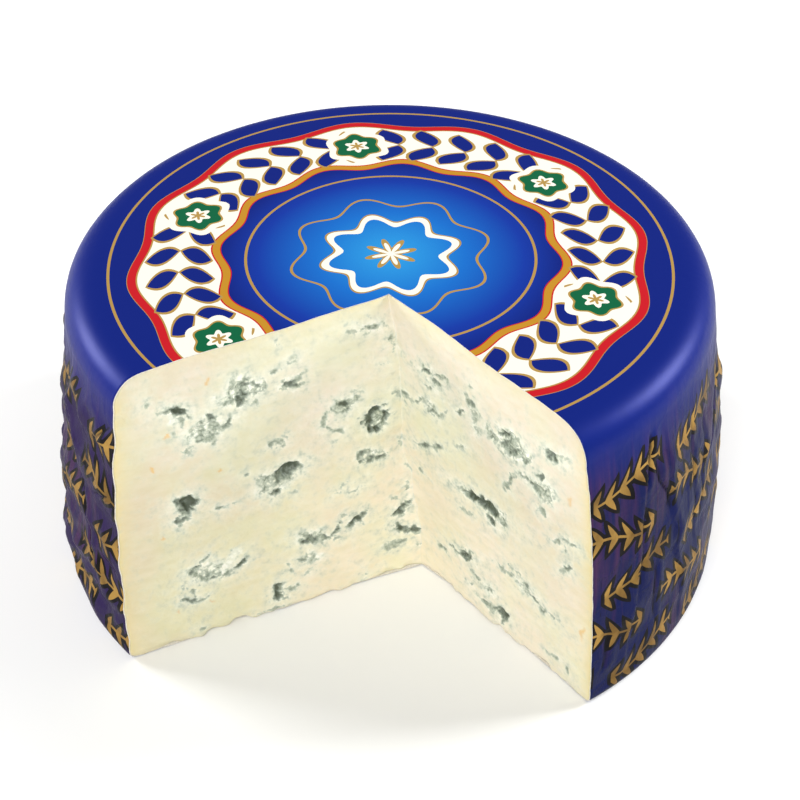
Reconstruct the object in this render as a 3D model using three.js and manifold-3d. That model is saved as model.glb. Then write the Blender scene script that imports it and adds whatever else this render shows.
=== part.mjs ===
// A foil-wrapped wheel of blue cheese with a wedge cut out of it.
//
// Millimetres, +Z up. The origin is the middle of the wheel's underside. The wedge is missing between
// -X and -Y: the right-hand cut face looks along -X, the left-hand one mostly along -Y.
// Two closed pieces: the cheese, and the sheet of foil folded round it, cut flush with it.

import * as THREE from "three";
import { mergeVertices } from "three/addons/utils/BufferGeometryUtils.js";
import Module from "manifold-3d";

const wasm = await Module();
wasm.setup();

// Driving dimensions

// The wrapped wheel: a low cone with a slight swell, a rounded shoulder and a small rounded foot.
const WHEEL = {
  height: 92,
  crown: 1.5,
  footRadius: 95.2,
  footRounding: 2.5,
  shoulderRadius: 88,
  shoulderWidth: 9.5,
  shoulderDrop: 9,
  sideSwell: 1.1,
};

// The foil is drawn thicker than the real sheet, and stands clear of the cheese all round.
const FOIL_THICKNESS = 0.5;
const FOIL_GAP = 0.3;

// The inner corner of the cut, where the two knife strokes met, at the base and at the top.
const CORNER = {
  atBase: new THREE.Vector2(-9.7, -24.7),
  atTop: new THREE.Vector2(-11.7, -15.2),
};

// The strokes didn't meet cleanly: the corner wanders into the cheese and out, [height, distance].
const CORNER_WANDER = [[0, -0.5], [12, -1.5], [34, 0], [42, 2], [60, 0.6], [76, 0.4], [92, 1.8]];
const WANDER_REACH = 12;

// Each cut face runs level from the corner in its own direction, and leans by the corner's slope.
const LEFT_FACE = { heading: THREE.MathUtils.degToRad(165.4), length: 102 };
const RIGHT_FACE = { heading: THREE.MathUtils.degToRad(270), length: 90 };
const GRID_STEP = 2.9;

// The knife's drag leaves long shallow waves in both faces.
const DRAG_WAVE = { depth: 0.25, length: 41, rise: 17 };

// The open cavities of the larger veins: place along the face from the corner and above the table,
// half length, half height, depth, and how steeply each rises away from the corner in degrees.
const LEFT_PITS = [
  { along: 8, up: 56, long: 4.6, high: 4, deep: 1.2, rise: 30 },
  { along: 17, up: 63, long: 4.4, high: 2.8, deep: 1, rise: -15 },
  { along: 44, up: 76.5, long: 4.8, high: 4.2, deep: 1.5, rise: -30 },
  { along: 62.5, up: 76, long: 3.8, high: 2.5, deep: 1.8, rise: 15 },
  { along: 53, up: 69, long: 5, high: 2.5, deep: 1, rise: -20 },
  { along: 36, up: 47.5, long: 5, high: 3.2, deep: 2.4, rise: -10 },
  { along: 65, up: 47, long: 3.4, high: 3, deep: 2.2, rise: -10 },
  { along: 9, up: 43, long: 5, high: 2.5, deep: 1, rise: 15 },
  { along: 4.5, up: 22.5, long: 3.6, high: 2.5, deep: 1.8, rise: -40 },
  { along: 18, up: 23.5, long: 3, high: 2.5, deep: 1.4, rise: -20 },
  { along: 31.5, up: 22, long: 3.6, high: 2.6, deep: 2, rise: 10 },
  { along: 64.5, up: 24.5, long: 3.2, high: 2.5, deep: 1.4, rise: -35 },
  { along: 43.5, up: 7, long: 3, high: 3.2, deep: 1.6, rise: 60 },
];
const RIGHT_PITS = [
  { along: 44, up: 71.5, long: 5.6, high: 3.4, deep: 1.6, rise: 5 },
  { along: 61, up: 77.5, long: 3.8, high: 2.5, deep: 1.4, rise: 10 },
  { along: 55, up: 65, long: 5, high: 2.8, deep: 1.2, rise: 10 },
  { along: 30, up: 43.5, long: 7, high: 2.9, deep: 2.4, rise: 5 },
  { along: 20.5, up: 18.5, long: 5, high: 2.6, deep: 2, rise: 20 },
  { along: 50, up: 23, long: 4, high: 2.5, deep: 1.2, rise: -5 },
  { along: 35, up: 7.5, long: 3.6, high: 3, deep: 1.8, rise: 0 },
  { along: 12, up: 50, long: 4.6, high: 2.5, deep: 1, rise: 25 },
];

// The foil lies in folds down the side: azimuth where each starts, how far it drifts round on its
// way down, half width and height above the sheet.
const PLEATS = [
  { azimuth: 276, drift: -5, width: 5, height: 1 },
  { azimuth: 281, drift: 7, width: 5, height: 0.8 },
  { azimuth: 309, drift: 4, width: 4.5, height: 0.9 },
  { azimuth: 333, drift: -6, width: 5, height: 1 },
  { azimuth: 355, drift: 5, width: 4.5, height: 0.7 },
  { azimuth: 18, drift: -4, width: 5, height: 1 },
  { azimuth: 43, drift: 6, width: 4.5, height: 0.8 },
  { azimuth: 66, drift: -5, width: 5, height: 1 },
  { azimuth: 92, drift: 5, width: 5, height: 0.9 },
  { azimuth: 113, drift: -6, width: 4.5, height: 0.8 },
  { azimuth: 139, drift: 4, width: 5, height: 1 },
  { azimuth: 160, drift: -7, width: 4.5, height: 0.8 },
];

const FINE_SEGMENTS = 132;
const PLAIN_SEGMENTS = 84;

const { atBase, atTop } = CORNER;
const sideTop = WHEEL.height - WHEEL.crown - WHEEL.shoulderDrop;
const sideFoot = WHEEL.footRounding;

// Small helpers

// A value read off a list of [place, value] pairs, straight between them.
function readOff(pairs, place) {
  const next = Math.max(1, pairs.findIndex(([at]) => at >= place));
  const [placeA, valueA] = pairs[next - 1];
  const [placeB, valueB] = pairs[next];
  const share = THREE.MathUtils.clamp((place - placeA) / (placeB - placeA), 0, 1);
  return THREE.MathUtils.lerp(valueA, valueB, share);
}

// A closed mesh as a solid that can be cut.
function toSolid(geometry) {
  const bare = geometry.clone();
  bare.deleteAttribute("normal");
  bare.deleteAttribute("uv");
  const merged = mergeVertices(bare, 1e-4);
  return new wasm.Manifold(new wasm.Mesh({
    numProp: 3,
    vertProperties: new Float32Array(merged.attributes.position.array),
    triVerts: new Uint32Array(merged.index.array),
  }));
}

function toGeometry(solid) {
  const { vertProperties, triVerts, numProp } = solid.getMesh();
  const geometry = new THREE.BufferGeometry();
  geometry.setAttribute("position", new THREE.BufferAttribute(vertProperties, numProp));
  geometry.setIndex(new THREE.BufferAttribute(triVerts, 1));
  geometry.computeVertexNormals();
  return geometry;
}

// The wheel

// Radius of the side: a straight cone between foot and shoulder, plus a swell that is fullest half way.
function sideRadius(z) {
  const share = (z - sideFoot) / (sideTop - sideFoot);
  const cone = THREE.MathUtils.lerp(WHEEL.footRadius, WHEEL.shoulderRadius, share);
  return cone + WHEEL.sideSwell * 4 * share * (1 - share);
}

// Half the wheel's section, from the middle of the base round to the middle of the top, drawn
// `inset` inside the foil's outer surface. Rounded corners keep their centres and lose the inset.
function wheelSection(inset, sideSteps, cornerSteps) {
  const points = [new THREE.Vector2(0, inset)];
  const footCentre = WHEEL.footRadius - WHEEL.footRounding;
  const footSize = WHEEL.footRounding - inset;
  for (let i = 0; i < 3; i++) {
    const turn = (Math.PI / 2) * (i / 3 - 1);
    points.push(new THREE.Vector2(footCentre + footSize * Math.cos(turn), sideFoot + footSize * Math.sin(turn)));
  }
  for (let i = 0; i < sideSteps; i++) {
    const z = THREE.MathUtils.lerp(sideFoot, sideTop, i / sideSteps);
    points.push(new THREE.Vector2(sideRadius(z) - inset, z));
  }
  const shoulderCentre = WHEEL.shoulderRadius - WHEEL.shoulderWidth;
  for (let i = 0; i <= cornerSteps; i++) {
    const turn = (Math.PI / 2) * (i / cornerSteps);
    const r = shoulderCentre + (WHEEL.shoulderWidth - inset) * Math.cos(turn);
    const z = sideTop + (WHEEL.shoulderDrop - inset) * Math.sin(turn);
    points.push(new THREE.Vector2(r, z));
  }
  const rimZ = WHEEL.height - WHEEL.crown - inset;
  points.push(new THREE.Vector2(shoulderCentre / 2, rimZ + WHEEL.crown * 0.75));
  points.push(new THREE.Vector2(0, rimZ + WHEEL.crown));
  return points;
}

// The section turned round the wheel's axis, with the lathe's own Y axis stood up along Z.
function turned(section, segments) {
  return new THREE.LatheGeometry(section, segments).rotateX(Math.PI / 2);
}

// Height of the folds over the smooth sheet at one place on the side, nothing at the foot and shoulder.
function foldHeight(azimuth, z) {
  const share = THREE.MathUtils.clamp((z - sideFoot) / (sideTop - sideFoot), 0, 1);
  const fade = Math.min(1, 5 * share, 5 * (1 - share));
  let height = 0;
  for (const pleat of PLEATS) {
    const middle = pleat.azimuth + pleat.drift * (1 - share);
    const away = Math.abs(((azimuth - middle + 540) % 360) - 180) * WHEEL.footRadius * (Math.PI / 180);
    height = Math.max(height, pleat.height * Math.max(0, 1 - away / pleat.width));
  }
  return height * fade;
}

// The wheel's outer surface with the folds raised on its side.
function foldedWheel() {
  const geometry = turned(wheelSection(0, 7, 4), FINE_SEGMENTS);
  const position = geometry.attributes.position;
  for (let i = 0; i < position.count; i++) {
    const x = position.getX(i);
    const y = position.getY(i);
    const radius = Math.hypot(x, y);
    if (radius < WHEEL.shoulderRadius - 2) continue;
    const azimuth = THREE.MathUtils.euclideanModulo(THREE.MathUtils.radToDeg(Math.atan2(y, x)), 360);
    const stretch = 1 + foldHeight(azimuth, position.getZ(i)) / radius;
    position.setXY(i, x * stretch, y * stretch);
  }
  return geometry;
}

// The cut

// How deep the face is bitten away at one place: drag waves plus every pit near it.
// A pit is a bowl with steep sides, depth times exp(-(p^2 + q^2)^2) in its own long and high axes.
function biteDepth(pits, along, up) {
  let depth = DRAG_WAVE.depth * Math.sin((2 * Math.PI * along) / DRAG_WAVE.length + up / DRAG_WAVE.rise);
  for (const pit of pits) {
    const turn = THREE.MathUtils.degToRad(pit.rise);
    const da = along - pit.along;
    const dz = up - pit.up;
    const p = (da * Math.cos(turn) + dz * Math.sin(turn)) / pit.long;
    const q = (dz * Math.cos(turn) - da * Math.sin(turn)) / pit.high;
    depth += pit.deep * Math.exp(-((p * p + q * q) ** 2));
  }
  return depth;
}

// A point of a cut face: level from the corner along the face's heading, moved into the cheese by
// the corner's wander, which dies away from the corner, and by the bite at that place.
function facePoint(face, intoCheese, pits, along, z) {
  const corner = atBase.clone().lerp(atTop, z / WHEEL.height);
  const wander = readOff(CORNER_WANDER, z) * Math.exp(-along / WANDER_REACH);
  const bite = biteDepth(pits, along, z) * Math.min(1, along / GRID_STEP);
  return new THREE.Vector3(
    corner.x + along * Math.cos(face.heading) + bite * Math.cos(intoCheese) - wander * 0.25,
    corner.y + along * Math.sin(face.heading) + bite * Math.sin(intoCheese) + wander,
    z,
  );
}

// The missing wedge as a solid: level rings, each from the far end of the left face to the corner,
// out to the far end of the right face and back outside the wheel, joined ring to ring and capped.
function wedge() {
  const margin = 3;
  const ringCount = Math.round((WHEEL.height + 2 * margin) / GRID_STEP) + 1;
  const leftCount = Math.round(LEFT_FACE.length / GRID_STEP);
  const rightCount = Math.round(RIGHT_FACE.length / GRID_STEP);
  const ringSize = leftCount + rightCount + 2;
  const outside = new THREE.Vector2(-120, -120);
  const middle = new THREE.Vector2(-60, -60);
  const vertices = [];
  for (let k = 0; k < ringCount; k++) {
    const z = THREE.MathUtils.lerp(-margin, WHEEL.height + margin, k / (ringCount - 1));
    for (let i = leftCount; i > 0; i--) {
      const along = (LEFT_FACE.length * i) / leftCount;
      vertices.push(facePoint(LEFT_FACE, LEFT_FACE.heading - Math.PI / 2, LEFT_PITS, along, z));
    }
    for (let i = 0; i <= rightCount; i++) {
      const along = (RIGHT_FACE.length * i) / rightCount;
      vertices.push(facePoint(RIGHT_FACE, RIGHT_FACE.heading + Math.PI / 2, RIGHT_PITS, along, z));
    }
    vertices.push(new THREE.Vector3(outside.x, outside.y, z));
  }
  const faces = [];
  for (let k = 0; k + 1 < ringCount; k++) {
    for (let i = 0; i < ringSize; i++) {
      const a = k * ringSize + i;
      const b = k * ringSize + ((i + 1) % ringSize);
      faces.push(a, b + ringSize, b, a, a + ringSize, b + ringSize);
    }
  }
  const lowMiddle = vertices.push(new THREE.Vector3(middle.x, middle.y, -margin)) - 1;
  const highMiddle = vertices.push(new THREE.Vector3(middle.x, middle.y, WHEEL.height + margin)) - 1;
  const lastRing = (ringCount - 1) * ringSize;
  for (let i = 0; i < ringSize; i++) {
    const next = (i + 1) % ringSize;
    faces.push(lowMiddle, i, next);
    faces.push(highMiddle, lastRing + next, lastRing + i);
  }
  const geometry = new THREE.BufferGeometry().setFromPoints(vertices);
  geometry.setIndex(faces);
  return geometry;
}

// The pieces

const missingWedge = toSolid(wedge());

function cheese() {
  const inset = FOIL_THICKNESS + FOIL_GAP;
  const wheel = toSolid(turned(wheelSection(inset, 5, 4), PLAIN_SEGMENTS));
  return toGeometry(wheel.subtract(missingWedge));
}

function foilWrap() {
  const outside = toSolid(foldedWheel());
  const inside = toSolid(turned(wheelSection(FOIL_THICKNESS, 5, 4), PLAIN_SEGMENTS));
  return toGeometry(outside.subtract(inside).subtract(missingWedge));
}

const cheeseMaterial = new THREE.MeshStandardMaterial({ color: 0xeee3c2, roughness: 0.6, metalness: 0 });
const foilMaterial = new THREE.MeshStandardMaterial({ color: 0x1b2b86, roughness: 0.35, metalness: 0.6 });

const wheel = new THREE.Group();

const cheeseMesh = new THREE.Mesh(cheese(), cheeseMaterial);
cheeseMesh.name = "cheese";
wheel.add(cheeseMesh);

const foilMesh = new THREE.Mesh(foilWrap(), foilMaterial);
foilMesh.name = "foil_wrap";
wheel.add(foilMesh);

export default wheel;
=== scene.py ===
# %% [markdown]
# # A wheel of blue cheese in printed foil
#
# The object is a low wheel of blue cheese, 190 mm across, wrapped in one sheet of printed foil.
# A wedge has been cut out with two strokes of a long knife, so two flat faces of veined paste show.
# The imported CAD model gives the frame: two solids, `cheese` and `foil_wrap`, in metres. Both get a
# finer piece of their own here, made in the same place from the same sizes. Every shape is a function
# of two parameters worked out on a whole grid with numpy, which keeps the formula in plain sight.

# %% Tools and the frame
import math

import bpy
import numpy as np
from mathutils import Matrix, Vector


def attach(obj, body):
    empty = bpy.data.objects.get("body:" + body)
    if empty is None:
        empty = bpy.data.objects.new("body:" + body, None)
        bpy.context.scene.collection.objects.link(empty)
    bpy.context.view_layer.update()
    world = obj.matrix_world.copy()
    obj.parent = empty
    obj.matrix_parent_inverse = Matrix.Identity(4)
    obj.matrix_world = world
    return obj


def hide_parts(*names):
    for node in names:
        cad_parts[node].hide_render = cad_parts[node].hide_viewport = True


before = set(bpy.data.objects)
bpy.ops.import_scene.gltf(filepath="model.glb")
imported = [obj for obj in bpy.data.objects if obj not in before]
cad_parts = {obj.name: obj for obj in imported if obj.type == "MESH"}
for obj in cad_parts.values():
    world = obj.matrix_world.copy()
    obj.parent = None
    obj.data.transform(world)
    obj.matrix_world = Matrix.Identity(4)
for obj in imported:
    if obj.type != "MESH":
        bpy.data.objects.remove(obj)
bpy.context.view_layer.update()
print("CAD nodes:", sorted(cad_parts))

# %% [markdown]
# ## Sizes
#
# The wheel is a low cone with a slight swell, a rounded shoulder and a small rounded foot. All lengths
# are millimetres until a mesh is made, because a cheese is easier to think about in millimetres.

# %% Sizes of the wheel
METRES = 0.001
HEIGHT = 92.0
CROWN = 1.5
FOOT_RADIUS = 95.2
FOOT_ROUNDING = 2.5
SHOULDER_RADIUS = 88.0
SHOULDER_WIDTH = 9.5
SHOULDER_DROP = 9.0
SIDE_SWELL = 1.1
SIDE_TOP = HEIGHT - CROWN - SHOULDER_DROP
SIDE_FOOT = FOOT_ROUNDING
RIM_RADIUS = SHOULDER_RADIUS - SHOULDER_WIDTH
TOP_UNEVENNESS = 0.12
print(f"wheel {2 * FOOT_RADIUS} mm across, {HEIGHT} mm high, side from {SIDE_FOOT} to {SIDE_TOP} mm")

# %% [markdown]
# ## Small tools for shapes
#
# Natural surfaces need noise that is smooth and always the same. A lattice of random values blended
# between its corners does that, and a few octaves of it give both broad and fine detail. The random
# value at a corner comes from mixing its whole-number coordinates, so no random generator is needed.


# %% Noise
def lattice_value(ix, iy, seed):
    """A fixed value between -1 and 1 for whole-number coordinates, by mixing their bits."""
    mixed = (ix * 374761393 + iy * 668265263 + seed * 1274126177) & 0xFFFFFFFF
    mixed = ((mixed ^ (mixed >> 13)) * 1103515245) & 0xFFFFFFFF
    mixed = mixed ^ (mixed >> 16)
    return (mixed & 0xFFFF) / 32767.5 - 1.0


def noise(x, y, seed):
    """Smooth noise between -1 and 1: lattice values blended with the curve 3t^2 - 2t^3 on both axes."""
    ix = np.floor(x).astype(np.int64)
    iy = np.floor(y).astype(np.int64)
    sx = x - ix
    sy = y - iy
    sx = sx * sx * (3 - 2 * sx)
    sy = sy * sy * (3 - 2 * sy)
    low = lattice_value(ix, iy, seed) * (1 - sx) + lattice_value(ix + 1, iy, seed) * sx
    high = lattice_value(ix, iy + 1, seed) * (1 - sx) + lattice_value(ix + 1, iy + 1, seed) * sx
    return low * (1 - sy) + high * sy


def rough(x, y, size, seed, octaves=3):
    """Octaves of noise: the first is `size` mm wide, each next one half as wide and half as strong."""
    total = np.zeros(np.broadcast(x, y).shape)
    for octave in range(octaves):
        step = size / 2**octave
        total = total + noise(x / step + 17.3 * octave, y / step - 9.1 * octave, seed + octave) / 2**octave
    return total


def ease(value, low, high):
    """0 below low, 1 above high, and the smooth curve 3t^2 - 2t^3 between."""
    share = np.clip((value - low) / (high - low), 0, 1)
    return share * share * (3 - 2 * share)


def read_off(pairs, place):
    """A value read off [place, value] pairs, eased from each pair to the next."""
    places, values = np.array(pairs, float).T
    place = np.clip(place, places[0], places[-1])
    after = np.clip(np.searchsorted(places, place), 1, len(places) - 1)
    share = ease(place, places[after - 1], places[after])
    return values[after - 1] + (values[after] - values[after - 1]) * share


print("noise at one place:", round(float(noise(np.array(3.2), np.array(7.9), 1)), 3))


# %% [markdown]
# ## The wheel's section
#
# The cheese and both sides of the foil are the same wheel, drawn a little further in each time. So one
# function gives the rim from the foot to the shoulder at any inset, and another the crown of the top.


# %% The section as rows of points
def side_radius(up):
    """Radius of the side: a straight cone from foot to shoulder, plus a parabola fullest half way."""
    share = np.clip((up - SIDE_FOOT) / (SIDE_TOP - SIDE_FOOT), 0, 1)
    cone = FOOT_RADIUS + (SHOULDER_RADIUS - FOOT_RADIUS) * share
    return cone + SIDE_SWELL * 4 * share * (1 - share)


def rim_rows(inset, foot_rows, side_rows, shoulder_rows):
    """Radius, height and outward direction of each row, from the base's edge to the top's edge:
    a quarter circle for the foot, the side, and a quarter ellipse for the shoulder. Rounded
    corners keep their centres and lose the inset."""
    foot = np.linspace(-np.pi / 2, 0, foot_rows, endpoint=False)
    side = np.linspace(SIDE_FOOT, SIDE_TOP, side_rows, endpoint=False)
    shoulder = np.linspace(0, np.pi / 2, shoulder_rows + 1)
    turn = np.concatenate([foot, np.zeros(side_rows), shoulder])
    radius = np.concatenate([
        FOOT_RADIUS - FOOT_ROUNDING + (FOOT_ROUNDING - inset) * np.cos(foot),
        side_radius(side) - inset,
        RIM_RADIUS + (SHOULDER_WIDTH - inset) * np.cos(shoulder),
    ])
    height = np.concatenate([
        SIDE_FOOT + (FOOT_ROUNDING - inset) * np.sin(foot),
        side,
        SIDE_TOP + (SHOULDER_DROP - inset) * np.sin(shoulder),
    ])
    return radius, height, np.stack([np.cos(turn), np.sin(turn)], axis=-1)


def crown_height(x, y, inset):
    """Height of the top: a parabola that rises to the axis, plus a faint unevenness of the sheet that
    dies away at the rim."""
    share = np.clip(np.hypot(x, y) / RIM_RADIUS, 0, 1)
    uneven = TOP_UNEVENNESS * noise(x / 26.0, y / 26.0, 401) * (1 - share**4)
    return HEIGHT - CROWN - inset + CROWN * (1 - share * share) + uneven


radius, height, outward = rim_rows(0, 4, 20, 6)
print(f"rim of {len(radius)} rows, from radius {radius[0]:.1f} to {radius[-1]:.1f}")

# %% [markdown]
# ## The two knife strokes
#
# Each face runs level from the inner corner in its own direction and leans by the corner's slope. The
# strokes didn't meet cleanly, so the corner wanders into the cheese and out again. The blade drags the
# soft paste into long shallow waves.

# %% Sizes of the cut
CORNER_AT_BASE = np.array([-9.7, -24.7])
CORNER_AT_TOP = np.array([-11.7, -15.2])
CORNER_WANDER = [[0, -0.5], [12, -1.5], [34, 0], [42, 2], [60, 0.6], [76, 0.4], [92, 1.8]]
WANDER_REACH = 12.0
DRAG_DEPTH = 0.25
DRAG_LENGTH = 41.0
DRAG_RISE = 17.0
LEFT_HEADING = math.radians(165.4)
RIGHT_HEADING = math.radians(270)
print("opening of the cut:", round(math.degrees(RIGHT_HEADING - LEFT_HEADING), 1), "degrees")

# %% [markdown]
# ## The veins
#
# Blue mould grows in the cracks and gaps of the curd, where the needles let the air in. A cut shows it
# as solid patches, rings round a crumb of curd, thin streaks, streaks that sag in the middle, fields of
# small crumbs outlined in mould, and a pale mist where it only begins. A few specks are ochre instead.
# Each line below is one of them, read off the photograph: place along the face from the corner
# and above the table, half length, half height, rise away from the corner in degrees (half a turn more
# turns a sag into a bow), how dark it is, and how deep its cavity is.

# %% Veins of the left face, upper half
LEFT_UPPER_VEINS = [
    ("patch", 7.2, 84.5, 1.8, 0.6, 4, 0.8, 0.2),
    ("streak", 12.0, 84.6, 2.6, 0.5, 0, 0.36, 0),
    ("sag", 8.2, 82.9, 1.4, 0.4, -25, 0.4, 0),
    ("streak", 3.0, 83.5, 1.3, 0.4, 50, 0.36, 0),
    ("mist", 7.5, 85.0, 7.5, 3.6, 5, 0.8, 0),
    ("patch", 2.0, 80.0, 0.7, 0.5, 0, 0.6, 0),
    ("streak", 0.4, 76.6, 1.5, 0.3, 80, 0.3, 0),
    ("mist", 2.8, 77.0, 2.6, 3.0, 0, 0.5, 0),
    ("streak", 4.4, 72.3, 2.2, 0.4, 14, 0.26, 0),
    ("streak", 33.6, 87.8, 1.2, 0.5, 75, 0.34, 0),
    ("mist", 32.8, 87.6, 2.6, 2.2, 0, 0.5, 0),
    ("patch", 31.1, 81.0, 0.9, 0.5, 0, 0.62, 0),
    ("streak", 35.4, 80.0, 1.1, 0.4, -10, 0.5, 0),
    ("streak", 31.4, 74.0, 3.1, 0.6, 13, 0.95, 0.5),
    ("streak", 28.8, 75.7, 1.9, 0.6, -42, 0.52, 0),
    ("patch", 33.6, 75.8, 0.7, 0.9, 0, 0.4, 0),
    ("streak", 34.4, 73.6, 1.1, 0.4, 0, 0.45, 0),
    ("streak", 27.3, 73.2, 0.8, 0.3, 10, 0.42, 0),
    ("mist", 31.5, 75.6, 4.6, 2.6, 5, 0.85, 0),
    ("streak", 38.4, 76.6, 1.6, 0.5, 85, 0.55, 0),
    ("streak", 39.8, 74.9, 1.4, 0.5, -35, 0.5, 0),
    ("sag", 43.4, 77.9, 2.3, 0.6, 188, 0.88, 0.3),
    ("streak", 45.6, 80.0, 2.1, 0.5, 12, 0.55, 0),
    ("crumbs", 45.2, 76.8, 3.4, 3.8, 0, 0.75, 0.5),
    ("crumbs", 41.2, 76.0, 2.0, 2.2, 0, 0.5, 0),
    ("patch", 45.9, 73.6, 1.5, 1.1, 0, 0.95, 0.5),
    ("streak", 44.2, 75.3, 1.7, 0.6, -40, 0.72, 0),
    ("sag", 49.3, 75.0, 1.9, 0.5, 0, 0.6, 0),
    ("crumbs", 49.6, 75.0, 2.4, 1.6, 0, 0.5, 0),
    ("patch", 42.3, 71.7, 0.9, 0.6, 0, 0.48, 0),
    ("mist", 45.5, 75.8, 7.4, 5.6, 0, 0.9, 0),
    ("patch", 54.5, 71.4, 1.1, 0.6, 20, 0.95, 0.4),
    ("streak", 53.8, 69.5, 1.3, 0.4, -15, 0.42, 0),
    ("patch", 50.5, 68.1, 1.6, 0.7, -28, 0.98, 0.4),
    ("streak", 52.3, 66.4, 3.0, 0.4, -18, 0.55, 0),
    ("streak", 57.5, 64.8, 2.7, 0.4, 2, 0.55, 0),
    ("streak", 61.4, 63.0, 1.3, 0.4, -5, 0.45, 0),
    ("patch", 54.3, 63.3, 0.7, 0.4, 0, 0.5, 0),
    ("crumbs", 56.6, 67.8, 5.0, 3.2, -8, 0.5, 0.3),
    ("patch", 57.3, 68.6, 1.2, 0.9, 0, 0.55, 0),
    ("mist", 56.6, 67.6, 7.8, 5.2, 0, 0.95, 0),
    ("patch", 62.8, 75.4, 2.7, 1.5, 28, 1.0, 1.1),
    ("streak", 67.2, 77.4, 1.6, 0.4, 30, 0.36, 0),
    ("streak", 60.0, 73.4, 0.8, 0.3, 0, 0.52, 0),
    ("streak", 62.5, 71.8, 1.5, 0.5, 80, 0.5, 0),
    ("patch", 64.0, 69.0, 0.5, 0.3, 0, 0.4, 0),
    ("mist", 63.6, 74.0, 4.8, 3.6, 20, 1.0, 0),
    ("patch", 70.3, 80.5, 0.5, 1.3, 0, 0.42, 0),
    ("streak", 13.2, 65.9, 1.7, 0.6, 25, 0.24, 0),
    ("patch", 14.0, 63.3, 0.9, 1.0, 0, 0.55, 0),
    ("patch", 17.5, 63.0, 1.2, 0.8, 0, 0.98, 0.4),
    ("sag", 18.2, 61.6, 3.4, 0.5, 4, 0.6, 0.2),
    ("crumbs", 17.0, 62.6, 2.8, 2.0, 0, 0.55, 0),
    ("streak", 23.4, 60.0, 1.9, 0.5, -48, 0.55, 0),
    ("patch", 24.0, 58.2, 0.9, 1.2, -20, 0.58, 0),
    ("streak", 20.9, 56.0, 2.3, 0.5, 38, 0.52, 0),
    ("patch", 19.3, 54.8, 0.9, 0.6, 35, 0.65, 0),
    ("patch", 21.2, 52.0, 0.6, 0.4, 0, 0.34, 0),
    ("mist", 18.0, 60.0, 6.8, 5.0, -15, 0.7, 0),
    ("ring", 8.0, 55.0, 3.6, 3.8, 0, 0.88, 0.7),
    ("crumbs", 8.0, 54.6, 3.2, 3.4, 0, 0.7, 0),
    ("streak", 12.0, 57.2, 1.5, 0.3, 25, 0.34, 0),
    ("mist", 8.4, 55.2, 5.8, 5.0, 0, 0.9, 0),
    ("streak", 37.9, 56.9, 2.3, 0.5, -4, 0.55, 0),
    ("patch", 36.4, 55.6, 0.8, 0.7, 0, 0.42, 0),
    ("patch", 34.5, 57.6, 0.5, 0.6, 0, 0.3, 0),
    ("mist", 37.2, 55.8, 4.0, 2.8, 0, 0.7, 0),
    ("streak", 0.8, 61.4, 1.8, 0.6, 45, 0.5, 0),
    ("speck", 66.3, 68.7, 0.9, 0.9, 0, 1.0, 0),
    ("speck", 72.0, 59.5, 0.9, 0.6, 0, 0.8, 0),
    ("speck", 53.3, 82.0, 0.8, 0.6, 0, 0.7, 0),
    ("speck", 54.5, 54.3, 1.3, 0.6, 15, 0.7, 0),
]
print(len(LEFT_UPPER_VEINS), "veins in the upper half of the left face")

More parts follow.
